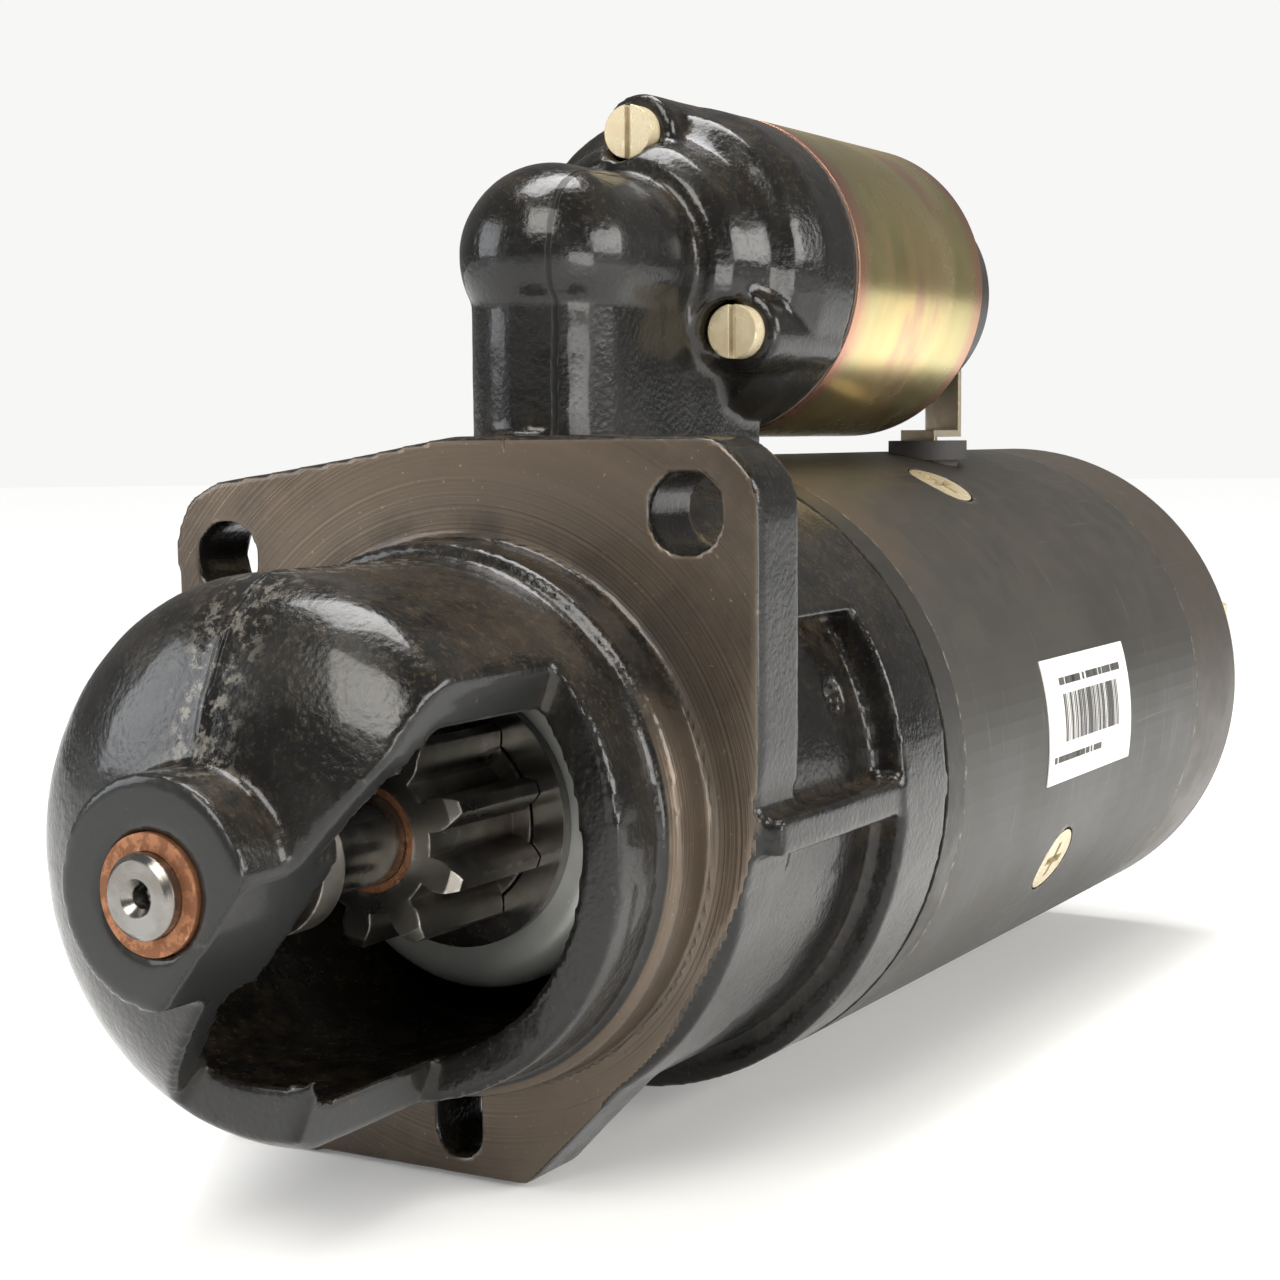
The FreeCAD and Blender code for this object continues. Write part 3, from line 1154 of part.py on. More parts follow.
def involute_tooth_gap(teeth, tip, root):
    """A face that covers one gap between two involute teeth, in the Y-Z plane."""
    pitch = tip * teeth / (teeth + 2)
    base = pitch * math.cos(math.radians(20))
    half_tooth = math.pi / teeth / 2 * 1.02

    def flank_angle(radius):
        ratio = math.acos(min(1, base / radius))
        at_pitch = math.acos(base / pitch)
        return half_tooth + (math.tan(at_pitch) - at_pitch) - (math.tan(ratio) - ratio)

    radii = [base + (tip + 0.6 - base) * step / 6 for step in range(7)]
    right = [Vector(0, r * math.sin(flank_angle(r)), r * math.cos(flank_angle(r))) for r in radii]
    foot_angle = flank_angle(base)
    foot = Vector(0, root * math.sin(foot_angle), root * math.cos(foot_angle))
    step_angle = 2 * math.pi / teeth

    def mirrored(point):
        angle = step_angle - math.atan2(point.y, point.z)
        radius = math.hypot(point.y, point.z)
        return Vector(0, radius * math.sin(angle), radius * math.cos(angle))

    left = [mirrored(point) for point in right]
    middle = step_angle / 2
    floor = Vector(0, root * math.sin(middle), root * math.cos(middle))
    far = tip + 0.6
    roof = Vector(0, far * math.sin(middle), far * math.cos(middle))
    flank_right = Part.BSplineCurve()
    flank_right.interpolate(right)
    flank_left = Part.BSplineCurve()
    flank_left.interpolate(left)
    edges = [
        Part.Arc(foot, floor, mirrored(foot)).toShape(),
        Part.LineSegment(mirrored(foot), left[0]).toShape(),
        flank_left.toShape(),
        Part.Arc(left[-1], roof, right[-1]).toShape(),
        flank_right.toShape(),
        Part.LineSegment(right[0], foot).toShape(),
    ]
    return Part.Face(Part.Wire(Part.__sortEdges__(edges)))


def pinion():
    """Nine involute teeth with bevelled ends, and the inner race of the clutch behind them."""
    front, width, tip = dim("pinion_front"), dim("pinion_width"), dim("pinion_tip")
    blank = turned("pinion_blank", [
        ("Dims.pinion_front", "Dims.pinion_bush_radius"),
        ("Dims.pinion_front", "Dims.pinion_tip - 1.6"),
        ("Dims.pinion_front + 1.2", "Dims.pinion_tip"),
        (PINION_REAR, "Dims.pinion_tip"),
        (PINION_REAR, "Dims.pinion_tail_radius"),
        (f"{CLUTCH_REAR} - 6.5", "Dims.pinion_tail_radius"),
        (f"{CLUTCH_REAR} - 6.5", "Dims.pinion_bush_radius"),
    ])
    gap = involute_tooth_gap(round(dim("pinion_teeth")), tip, dim("pinion_root"))
    block = gap.extrude(Vector(width + 1, 0, 0))
    block.translate(Vector(front - 1, 0, 0))
    count = round(dim("pinion_teeth"))
    blocks = []
    for index in range(count):
        turned_block = block.copy()
        turned_block.rotate(Vector(), Vector(1, 0, 0), 360 / count * index + 90 + 20)
        blocks.append(turned_block)
    gaps = doc.addObject("Part::Feature", "tooth_gaps")
    gaps.Shape = Part.makeCompound(blocks)
    return cut("pinion", blank, gaps)


def pinion_bush():
    return ring("pinion_bush", "Dims.pinion_journal + Dims.running_gap", "Dims.pinion_bush_radius",
                "Dims.pinion_front + 0.3", f"{CLUTCH_REAR} - 7")


def clutch_driver():
    """The clutch shell and the sleeve that slides on the shaft's coarse thread."""
    bore = "(Dims.spline_radius + Dims.running_gap)"
    body = turned("clutch_driver", [
        ("Dims.clutch_front", "Dims.pinion_tail_radius + 0.8"),
        ("Dims.clutch_front", "Dims.clutch_radius"),
        (CLUTCH_REAR, "Dims.clutch_radius"),
        (CLUTCH_REAR, "Dims.sleeve_radius"),
        ("Dims.sleeve_end", "Dims.sleeve_radius"),
        ("Dims.sleeve_end", bore),
        (f"{CLUTCH_REAR} - 6", bore),
        (f"{CLUTCH_REAR} - 6", "Dims.clutch_race"),
        ("Dims.clutch_front + 2.5", "Dims.clutch_race"),
        ("Dims.clutch_front + 2.5", "Dims.pinion_tail_radius + 0.8"),
    ])
    doc.recompute()
    front = dim("clutch_front")
    return fillet(body, round_edges(body.Shape, front, dim("clutch_radius")), "4.5")


def clutch_cover():
    """The bright plate that closes the front of the clutch."""
    return ring("clutch_cover", "Dims.pinion_tail_radius + 0.4", "Dims.cover_radius",
                f"{PINION_REAR} + Dims.working_gap", "Dims.clutch_front")


def clutch_rollers():
    rollers = []
    circle = "((Dims.pinion_tail_radius + Dims.clutch_race) / 2)"
    for index in range(round(dim("roller_count"))):
        y, z = polar(circle, f"{index} * 360 / Dims.roller_count")
        rollers.append(cylinder("clutch_roller", "Dims.roller_radius", "Dims.clutch_depth - 10",
                                "Dims.clutch_front + 3", y, z))
    return group("clutch_rollers", *rollers)


def meshing_spring():
    """The spring that lets the pinion wait against a tooth of the ring gear."""
    start = f"({CLUTCH_REAR} + 1.6)"
    return coil_spring("meshing_spring", "16.4", "1.4", start,
                       f"{COLLAR_FRONT} - 1.6 - {start}", 8)


def guide_collar():
    """The grooved collar that the lever's shoes push."""
    groove_half = "(Dims.shoe_radius + Dims.working_gap)"
    bore = "(Dims.sleeve_radius + Dims.running_gap)"
    return turned("guide_collar", [
        (COLLAR_FRONT, bore),
        (COLLAR_FRONT, "Dims.collar_radius"),
        (f"Dims.collar_centre - {groove_half}", "Dims.collar_radius"),
        (f"Dims.collar_centre - {groove_half}", "Dims.collar_groove"),
        (f"Dims.collar_centre + {groove_half}", "Dims.collar_groove"),
        (f"Dims.collar_centre + {groove_half}", "Dims.collar_radius"),
        (COLLAR_REAR, "Dims.collar_radius"),
        (COLLAR_REAR, bore),
    ])


def collar_snap_ring():
    return ring("collar_snap_ring", "Dims.sleeve_radius", "Dims.sleeve_radius + 2.5",
                f"{COLLAR_REAR} + Dims.working_gap", f"{COLLAR_REAR} + 1.8")


# ---------------------------------------------------------------- armature

STOP_REAR = "(Dims.pinion_front - Dims.drive_travel - 1.5)"
SHAFT_END = f"({COVER_REAR} + 3.6)"


def armature_shaft():
    """The stepped shaft, from its centre-drilled nose to the retaining groove at the rear."""
    tip = "Dims.shaft_tip"
    return turned("armature_shaft", [
        (f"{tip} + 5", "0"),
        (f"{tip} + 4", "1.5"),
        (f"{tip} + 1.2", "1.6"),
        (tip, "2.7"),
        (tip, "Dims.front_journal - 0.9"),
        (f"{tip} + 0.9", "Dims.front_journal"),
        ("Dims.boss_rear + 0.6", "Dims.front_journal"),
        ("Dims.boss_rear + 0.6", "Dims.pinion_journal"),
        ("Dims.boss_rear + 1.5", "Dims.pinion_journal"),
        ("Dims.boss_rear + 1.5", "6.3"),
        ("Dims.boss_rear + 3", "6.3"),
        ("Dims.boss_rear + 3", "Dims.pinion_journal"),
        (f"{CLUTCH_REAR} - 6", "Dims.pinion_journal"),
        (f"{CLUTCH_REAR} - 6", "Dims.spline_radius"),
        ("Dims.housing_rear - 4", "Dims.spline_radius"),
        ("Dims.housing_rear - 4", "Dims.centre_journal"),
        ("Dims.commutator_front - 6", "Dims.centre_journal"),
        ("Dims.commutator_front - 6", "9.5"),
        (f"{COVER_REAR} - 20", "9.5"),
        (f"{COVER_REAR} - 20", "Dims.rear_journal"),
        (f"{SHAFT_END} - 2.4", "Dims.rear_journal"),
        (f"{SHAFT_END} - 2.4", "5.4"),
        (f"{SHAFT_END} - 1.2", "5.4"),
        (f"{SHAFT_END} - 1.2", "Dims.rear_journal"),
        (SHAFT_END, "Dims.rear_journal - 0.6"),
        (SHAFT_END, "0"),
    ])


def armature_core():
    """The lamination stack, slotted for the winding bars."""
    rear = "(Dims.core_front + Dims.core_stack)"
    blank = ring("core_blank", "Dims.centre_journal", "Dims.core_radius", "Dims.core_front", rear)
    slots = [core_slot("core_slot", index, "Dims.bar_half + 0.2", "0",
                       ("20.8", "Dims.core_radius + 1")) for index in range(round(dim("slot_count")))]
    return cut("armature_core", blank, *slots)


def core_slot(name, index, half, overhang, depth):
    """One radial slot or bar of the core, turned to its place."""
    span = (f"Dims.core_front - 1 - {overhang}", f"Dims.core_front + Dims.core_stack + 1 + {overhang}")
    item = box(name, span, (f"-({half})", half), depth)
    angle = math.radians(360 / round(dim("slot_count")) * index)
    item.Placement.Rotation = Rotation(Vector(1, 0, 0), math.degrees(angle))
    across = f"(({half}) * {math.cos(angle)} + ({depth[0]}) * {math.sin(angle)})"
    up = f"(({depth[0]}) * {math.cos(angle)} - ({half}) * {math.sin(angle)})"
    return place(item, span[0], f"-{across}", up)


def armature_windings():
    """Copper bars in the slots and the end turns that join them."""
    rear = "(Dims.core_front + Dims.core_stack)"
    front_turns = ring("front_end_turns", "Dims.centre_journal + 2", "Dims.core_radius - 1.4",
                       "Dims.core_front - 13", "Dims.core_front - 0.5")
    rear_turns = ring("rear_end_turns", "Dims.centre_journal + 2", "Dims.core_radius - 1.4",
                      f"{rear} + 0.5", "Dims.commutator_front")
    bars = [core_slot("winding_bar", index, "Dims.bar_half", "4",
                      ("21.2", "Dims.core_radius - 0.8")) for index in range(round(dim("slot_count")))]
    return fuse("armature_windings", front_turns, rear_turns, *bars)


def commutator():
    """Copper segments with a riser at the winding end."""
    rear = "(Dims.commutator_front + Dims.commutator_length)"
    blank = turned("commutator_blank", [
        ("Dims.commutator_front", "9.5"),
        ("Dims.commutator_front", "Dims.commutator_radius + 3"),
        ("Dims.commutator_front + 2.5", "Dims.commutator_radius + 3"),
        ("Dims.commutator_front + 2.5", "Dims.commutator_radius"),
        (rear, "Dims.commutator_radius"),
        (rear, "9.5"),
    ])
    count = round(dim("segment_count"))
    cuts = []
    for index in range(count):
        item = box("segment_gap", ("Dims.commutator_front - 1", f"{rear} + 1"), ("-0.3", "0.3"),
                   ("Dims.commutator_radius - 1.2", "Dims.commutator_radius + 4"))
        holder = group("segment_gap_turned", item)
        cuts.append(about_shaft(holder, 360 / count * index))
    return cut("commutator", blank, *cuts)


def stop_ring():
    """The collar on the shaft that ends the pinion's stroke."""
    return ring("stop_ring", "Dims.pinion_journal", "Dims.pinion_journal + 3.5",
                "Dims.boss_rear + 3", STOP_REAR)


def retaining_rings():
    """The wire ring under the stop ring and the clip at the rear end of the shaft."""
    front = ring("front_wire_ring", "6.3", "8.4", "Dims.boss_rear + 1.6", "Dims.boss_rear + 2.9")
    rear = ring("rear_clip", "5.4", "9", f"{SHAFT_END} - 2.3", f"{SHAFT_END} - 1.3")
    return group("retaining_rings", front, rear)


def thrust_washers():
    """Washers that set the armature's end float."""
    front = ring("front_thrust_washer", "Dims.centre_journal", "17",
                 "Dims.housing_rear + 14.8", "Dims.housing_rear + 16.3")
    rear = ring("rear_thrust_washer", "Dims.rear_journal", "10.5", f"{COVER_REAR} + 0.3",
                f"{COVER_REAR} + 1.1")
    return group("thrust_washers", front, rear)


# ---------------------------------------------------------------- build and export

MAKERS = [
    drive_end_housing, front_bush, solenoid_screws, centre_bearing_plate, centre_bush, field_frame,
    lambda: four_round("pole_shoes", pole_shoe), lambda: four_round("field_coils", field_coil),
    lambda: four_round("pole_screws", pole_screw), brush_plate,
    lambda: four_round("brush_holders", brush_holder), brush_end_cover, rear_bush, rear_cap,
    rear_cap_screws, through_bolts, label, solenoid_gasket, solenoid_case, solenoid_winding,
    solenoid_core, solenoid_cap, lambda: main_stud("battery_terminal", "1"),
    lambda: main_stud("motor_terminal", "-1"), trigger_terminal, terminal_nuts, field_lead_strap,
    strap_grommet, plunger, plunger_link, plunger_return_spring, contact_rod, contact_bridge,
    contact_return_spring, shift_lever, lever_pivot_bolt, pinion, pinion_bush, clutch_driver,
    clutch_cover, clutch_rollers, meshing_spring, guide_collar, collar_snap_ring, armature_shaft,
    armature_core, armature_windings, commutator, stop_ring, retaining_rings, thrust_washers,
]


def main():
    nodes = [maker() for maker in MAKERS]
    brushes_and_springs()
    for piece in ("brush", "brush_spring"):
        nodes += [doc.getObjectsByLabel(f"{piece}_{turn}")[0] for turn in range(1, 5)]
    doc.recompute()
    for item in doc.Objects:
        if "Invalid" in item.State or "Error" in item.State:
            raise RuntimeError(f"{item.Name} did not build: {item.State}")
    os.makedirs("parts", exist_ok=True)
    for node in nodes:
        shape = node.Shape
        if shape.isNull() or not shape.isValid() or not shape.Solids:
            raise RuntimeError(f"{node.Label} is not a valid solid")
        shape.exportStep(f"parts/{node.Label}.step")
        print(f"{node.Label}: {len(shape.Solids)} solids, {shape.Volume:.0f} mm3")


main()
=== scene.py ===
import json
import math

import bmesh
import bpy
import numpy as np
from mathutils import Matrix, Quaternion, Vector, noise


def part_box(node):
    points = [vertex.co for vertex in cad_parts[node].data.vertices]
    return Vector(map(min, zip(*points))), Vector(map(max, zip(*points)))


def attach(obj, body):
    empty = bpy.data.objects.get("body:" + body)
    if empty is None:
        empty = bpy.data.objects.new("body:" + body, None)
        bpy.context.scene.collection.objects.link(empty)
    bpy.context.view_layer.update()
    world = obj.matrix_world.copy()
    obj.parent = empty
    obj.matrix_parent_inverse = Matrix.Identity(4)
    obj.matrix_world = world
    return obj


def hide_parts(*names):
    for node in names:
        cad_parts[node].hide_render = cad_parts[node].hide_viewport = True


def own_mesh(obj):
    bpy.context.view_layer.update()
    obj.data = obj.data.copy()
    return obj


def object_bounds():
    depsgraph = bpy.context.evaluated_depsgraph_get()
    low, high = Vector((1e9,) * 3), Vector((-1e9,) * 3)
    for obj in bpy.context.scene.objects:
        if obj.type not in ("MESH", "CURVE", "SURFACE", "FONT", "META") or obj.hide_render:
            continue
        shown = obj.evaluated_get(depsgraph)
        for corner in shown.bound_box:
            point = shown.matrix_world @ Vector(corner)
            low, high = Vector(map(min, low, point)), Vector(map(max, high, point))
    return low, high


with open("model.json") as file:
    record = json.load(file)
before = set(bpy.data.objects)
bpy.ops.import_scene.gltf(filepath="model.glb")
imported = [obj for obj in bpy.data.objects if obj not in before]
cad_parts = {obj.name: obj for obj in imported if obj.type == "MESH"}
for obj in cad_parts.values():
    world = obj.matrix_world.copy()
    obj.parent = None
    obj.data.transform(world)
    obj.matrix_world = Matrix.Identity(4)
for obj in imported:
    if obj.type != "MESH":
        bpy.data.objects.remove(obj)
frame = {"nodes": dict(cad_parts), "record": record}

bl_info = {"name": "Starter motor", "version": (1, 0, 0), "blender": (4, 5, 0), "location":
    "3D View > Sidebar > Starter", "description":
    "Builds the finishes and the fine pieces of a starter motor round its frame", "category":
    "Object", }

CAD_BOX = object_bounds()
MM = 0.001
HOUSING = "housing"
CUT_FACES = (218.4, 200.0)      # where the milled faces of the housing look, in degrees round X
BOSS_FRONT = -0.074             # the parting line ends behind the turned face of the nose
TOWER_SEAM = -7.5 * MM
PLUNGER_STROKE = 16.9 * MM
POLE_ANGLE = 27.0
SINK_RADIUS = 7.45 * MM
SINK_DEPTH = 12 * MM
SINK_MIDDLE = 59.6 * MM          # the sink reaches in to where the screw head narrows
NOSE_FACE = -0.0752             # turned face round the front bush
PILOT_INSIDE, PILOT_OUTSIDE = 0.043, 0.0455
MOST_TRIANGLES = 190_000        # of the casting
MOTOR_NUT_OVERLAP = 6.8 * MM    # how much more of the motor stud its second nut covers
CONTACT_STROKE = 2.7 * MM


# ---------------------------------------------------------------- sizes and colours to change

def length_setting(name, about, value):
    return bpy.props.FloatProperty(name=name, description=about, default=value, unit="LENGTH",
                                   precision=5)


def colour_setting(name, about, value):
    return bpy.props.FloatVectorProperty(name=name, description=about, default=value, size=4,
                                         subtype="COLOR", min=0, max=1)


class StarterCastingSettings(bpy.types.PropertyGroup):
    """How coarse the iron casting of the drive end is."""

    voxel: length_setting("Facet size", "Edge length of the facets of the casting", 0.85 * MM)
    smoothing: bpy.props.IntProperty(name="Smoothing",
        description="Rounds of smoothing that make the cast fillets", default=3, min=0, max=20)
    lump_size: length_setting("Lump size", "Distance between lumps of the cast skin", 7 * MM)
    lump_depth: length_setting("Lump depth", "Depth of the lumps of the cast skin", 0.15 * MM)
    seam_height: length_setting(
        "Seam height", "Height of the ridge along the parting line", 0.35 * MM)


class StarterFinishSettings(bpy.types.PropertyGroup):
    """Colours that are used by more than one finish."""

    paint: colour_setting(
        "Casting paint", "Gloss paint on the drive end housing", (0.0050, 0.0050, 0.0048, 1.0))
    bare_iron: colour_setting(
        "Machined iron", "Bare machined faces of the casting", (0.120, 0.093, 0.069, 1.0))
    yoke: colour_setting(
        "Frame paint", "Satin paint on the field frame", (0.029, 0.0275, 0.0245, 1.0))
    dust: colour_setting("Dust", "Dry dust in the hollows", (0.115, 0.078, 0.042, 1.0))
    rust: colour_setting("Rust", "Thin rust on bare iron", (0.14, 0.055, 0.022, 1.0))
    zinc: colour_setting("Yellow zinc", "Plating of the solenoid case", (0.84, 0.64, 0.28, 1.0))


class StarterThreadSettings(bpy.types.PropertyGroup):
    """Screw threads of the terminal studs."""

    pitch_share: bpy.props.FloatProperty(name="Pitch",
        description="Pitch of a thread as a share of its radius", default=0.31, min=0.1, max=1)
    depth_share: bpy.props.FloatProperty(name="Crest",
        description="Height of a crest as a share of the pitch", default=0.3, min=0.05, max=0.6)


class StarterLabelSettings(bpy.types.PropertyGroup):
    """The plain print on the paper label."""

    bars: bpy.props.IntProperty(
        name="Bars", description="Number of upright bars", default=34, min=1, max=200)
    bar_height: length_setting("Bar height", "Height of the bars round the frame", 9.5 * MM)
    ink: colour_setting("Ink", "Colour of the print", (0.030, 0.029, 0.028, 1.0))
    seed: bpy.props.IntProperty(name="Seed", description="Choice of bar widths", default=7)


class StarterStageSettings(bpy.types.PropertyGroup):
    """Floor, lights and camera."""

    floor: colour_setting("Floor", "Colour of the floor", (0.86, 0.86, 0.85, 1.0))
    key_power: bpy.props.FloatProperty(
        name="Key light", description="Power of the main soft light", default=17.0, unit="POWER")
    room: bpy.props.FloatProperty(
        name="Room", description="Brightness of the room round the part", default=0.20, min=0)
    backdrop: bpy.props.FloatProperty(name="Backdrop",
        description="Brightness of the wall behind the part", default=0.93, min=0)
    lens: bpy.props.FloatProperty(
        name="Lens", description="Focal length in millimetres", default=64.94, min=10, max=300)


# ---------------------------------------------------------------- node helpers

class Tree:
    """Adds nodes to one tree and joins them."""

    def __init__(self, tree):
        self.tree = tree

    def feed(self, socket, value):
        if isinstance(value, bpy.types.NodeSocket):
            self.tree.links.new(value, socket)
        elif value is not None:
            socket.default_value = value

    def add(self, kind, inputs=None, **settings):
        node = self.tree.nodes.new(kind)
        for name, value in settings.items():
            setattr(node, name, value)
        for name, value in (inputs or {}).items():
            self.feed(node.inputs[name], value)
        return node

    def math(self, operation, *values, clamp=False):
        node = self.add("ShaderNodeMath", operation=operation, use_clamp=clamp)
        for socket, value in zip(node.inputs, values):
            self.feed(socket, value)
        return node.outputs[0]

    def vector(self, operation, *values):
        node = self.add("ShaderNodeVectorMath", operation=operation)
        for socket, value in zip(node.inputs, values):
            self.feed(socket, value)
        return node.outputs["Value" if operation in ("DOT_PRODUCT", "LENGTH") else "Vector"]

    def mix(self, share, first, second):
        node = self.add("ShaderNodeMix", data_type="RGBA")
        for index, value in ((0, share), (6, first), (7, second)):
            self.feed(node.inputs[index], value)
        return node.outputs[2]

    def blend(self, share, first, second):
        node = self.add("ShaderNodeMix", data_type="FLOAT")
        for index, value in ((0, share), (2, first), (3, second)):
            self.feed(node.inputs[index], value)
        return node.outputs[0]

    def step(self, value, low, high, start=0.0, end=1.0):
        """Goes smoothly from start to end as value goes from low to high."""
        node = self.add("ShaderNodeMapRange", {"Value": value, "From Min": low, "From Max": high,
            "To Min": start, "To Max": end, }, interpolation_type="SMOOTHSTEP")
        return node.outputs[0]

    def noise(self, where, scale, detail=3.0, rough=0.55):
        node = self.add("ShaderNodeTexNoise", {"Vector": where, "Scale": scale, "Detail": detail,
            "Roughness": rough, })
        return node.outputs["Fac"]

    def cells(self, where, scale, feature="F1"):
        node = self.add("ShaderNodeTexVoronoi", {"Vector": where, "Scale": scale}, feature=feature)
        return node.outputs["Distance"]

    def place(self):
        return self.add("ShaderNodeTexCoord").outputs["Object"]

    def facing(self):
        return self.add("ShaderNodeNewGeometry").outputs["Normal"]

    def true_facing(self):
        return self.add("ShaderNodeNewGeometry").outputs["True Normal"]

    def parts(self, vector):
        return self.add("ShaderNodeSeparateXYZ", {0: vector}).outputs

    def group(self, name, **inputs):
        node = self.add("ShaderNodeGroup", node_tree=bpy.data.node_groups[name])
        for label, value in inputs.items():
            self.feed(node.inputs[label.replace("_", " ")], value)
        return node.outputs


def new_group(name, kind, inputs, outputs):
    """A node group with named sockets, its own input node's outputs and its output node."""
    tree = bpy.data.node_groups.new(name, kind)
    for direction, sockets in (("INPUT", inputs), ("OUTPUT", outputs)):
        for label, socket_type, *rest in sockets:
            socket = tree.interface.new_socket(name=label, in_out=direction,
                socket_type=socket_type)
            if rest:
                socket.default_value = rest[0]
    nodes = Tree(tree)
    given = nodes.add("NodeGroupInput").outputs
    result = nodes.add("NodeGroupOutput")
    return nodes, given, result.inputs


NUMBER, COLOUR, DIRECTION = "NodeSocketFloat", "NodeSocketColor", "NodeSocketVector"


def make_casting_grain():
    """Pebbled skin of a sand casting: round lumps, fine grit and a few sharp pits."""
    n, given, out = new_group("casting grain", "ShaderNodeTree", [("Size", NUMBER, 900.0), ("Pits",
        NUMBER, 0.5)], [("Height", NUMBER), ("Hollow", NUMBER)])
    where = n.place()
    pebbles = n.math("SUBTRACT", 1.0, n.cells(where, given["Size"], "SMOOTH_F1"))
    grit = n.noise(where, n.math("MULTIPLY", given["Size"], 2.3), 4.0)
    swell = n.noise(where, n.math("MULTIPLY", given["Size"], 0.22), 3.0)
    spots = n.cells(where, n.math("MULTIPLY", given["Size"], 0.45))
    rare = n.step(n.noise(where, n.math("MULTIPLY", given["Size"], 0.12), 2.0), 0.52, 0.62)
    pits = n.math("MULTIPLY", n.step(spots, 0.30, 0.12), rare)
    pits = n.math("MULTIPLY", pits, given["Pits"])
    total = n.math("MULTIPLY_ADD", pebbles, 0.45, n.math("MULTIPLY", grit, 0.30))
    total = n.math("MULTIPLY_ADD", swell, 0.5, total)
    n.feed(out["Height"], n.math("SUBTRACT", total, pits))
    n.feed(out["Hollow"], pits)


def make_edge_wear():
    """Where an outer edge is rubbed, broken up by noise."""
    n, given, out = new_group("edge wear", "ShaderNodeTree", [("Width", NUMBER, 0.8 * MM),
        ("Amount", NUMBER, 0.5), ("Breakup", NUMBER, 350.0)], [("Mask", NUMBER)])
    hidden = n.add("ShaderNodeAmbientOcclusion", {"Distance": given["Width"]}, samples=3,
        inside=True).outputs["AO"]
    patchy = n.noise(n.place(), given["Breakup"], 4.0, 0.65)
    low = n.math("SUBTRACT", 0.78, n.math("MULTIPLY", given["Amount"], 0.45))
    chance = n.step(patchy, low, n.math("ADD", low, 0.12))
    n.feed(out["Mask"], n.math("MULTIPLY", n.step(hidden, 0.93, 0.62), chance, clamp=True))


def make_settled_dust():
    """Dust that gathers in hollows and on faces that look up."""
    n, given, out = new_group("settled dust", "ShaderNodeTree", [("Reach", NUMBER, 6 * MM),
        ("Amount", NUMBER, 0.5), ("Breakup", NUMBER, 160.0)], [("Mask", NUMBER)])
    open_air = n.add("ShaderNodeAmbientOcclusion", {"Distance": given["Reach"]},
        samples=3).outputs["AO"]
    hollow = n.step(open_air, 0.85, 0.25)
    up = n.step(n.parts(n.facing())["Z"], 0.15, 1.0, 0.0, 0.35)
    patchy = n.step(n.noise(n.place(), given["Breakup"], 5.0, 0.7), 0.38, 0.68)
    total = n.math("MULTIPLY", n.math("ADD", hollow, up), patchy)
    n.feed(out["Mask"], n.math("MULTIPLY", total, given["Amount"], clamp=True))


def make_turned_marks():
    """Fine rings that a lathe leaves round an axis along X."""
    n, given, out = new_group("turned marks", "ShaderNodeTree", [("Spacing", NUMBER, 0.4 * MM),
        ("Axis Height", NUMBER, 0.0)], [("Height", NUMBER), ("Band", NUMBER)])
    x, y, z = n.parts(n.place())
    across = n.math("SUBTRACT", z, given["Axis Height"])
    radius = n.math("SQRT", n.math("ADD", n.math("MULTIPLY", y, y), n.math("MULTIPLY", across,
        across)))
    on_face = n.math("ABSOLUTE", n.parts(n.true_facing())["X"])
    line = n.blend(n.step(on_face, 0.5, 0.8), x, radius)
    turns = n.math("DIVIDE", line, given["Spacing"])
    fine = n.add("ShaderNodeTexNoise", {"W": turns, "Scale": 1.0, "Detail": 2.0},
        noise_dimensions="1D").outputs["Fac"]
    broad = n.add("ShaderNodeTexNoise", {"W": n.math("DIVIDE", turns, 9.0), "Scale": 1.0, "Detail":
        2.0}, noise_dimensions="1D").outputs["Fac"]
    n.feed(out["Height"], fine)
    n.feed(out["Band"], broad)


def make_blotches():
    """Soft uneven patches of a second colour, and fine speckles."""
    n, given, out = new_group("blotches", "ShaderNodeTree", [("Size", NUMBER, 60.0), ("Contrast",
        NUMBER, 0.5)], [("Mask", NUMBER), ("Speckle", NUMBER)])
    where = n.place()
    wide = n.noise(where, given["Size"], 5.0, 0.62)
    half = n.math("MULTIPLY", given["Contrast"], 0.28)
    n.feed(out["Mask"], n.step(wide, n.math("ADD", 0.25, half), n.math("SUBTRACT", 0.75, half)))
    n.feed(out["Speckle"], n.step(n.noise(where, n.math("MULTIPLY", given["Size"], 14.0), 2.0),
        0.55, 0.7))


def make_scratches():
    """Thin straight scratches in a few directions."""
    n, given, out = new_group("scratches", "ShaderNodeTree", [("Density", NUMBER, 0.5)], [("Mask",
        NUMBER)])
    where = n.place()
    found = None
    for turn in ((0.3, 0.2, 0.9), (1.2, 0.7, 0.1)):
        turned = n.add("ShaderNodeMapping", {"Vector": where, "Rotation": turn, "Scale": (20.0,
            900.0, 900.0)}).outputs[0]
        lines = n.step(n.noise(turned, 1.0, 1.0), n.math("SUBTRACT", 0.80, n.math("MULTIPLY",
            given["Density"], 0.12)), 0.86)
        found = lines if found is None else n.math("MAXIMUM", found, lines)
    n.feed(out["Mask"], found)


# ---------------------------------------------------------------- finishes

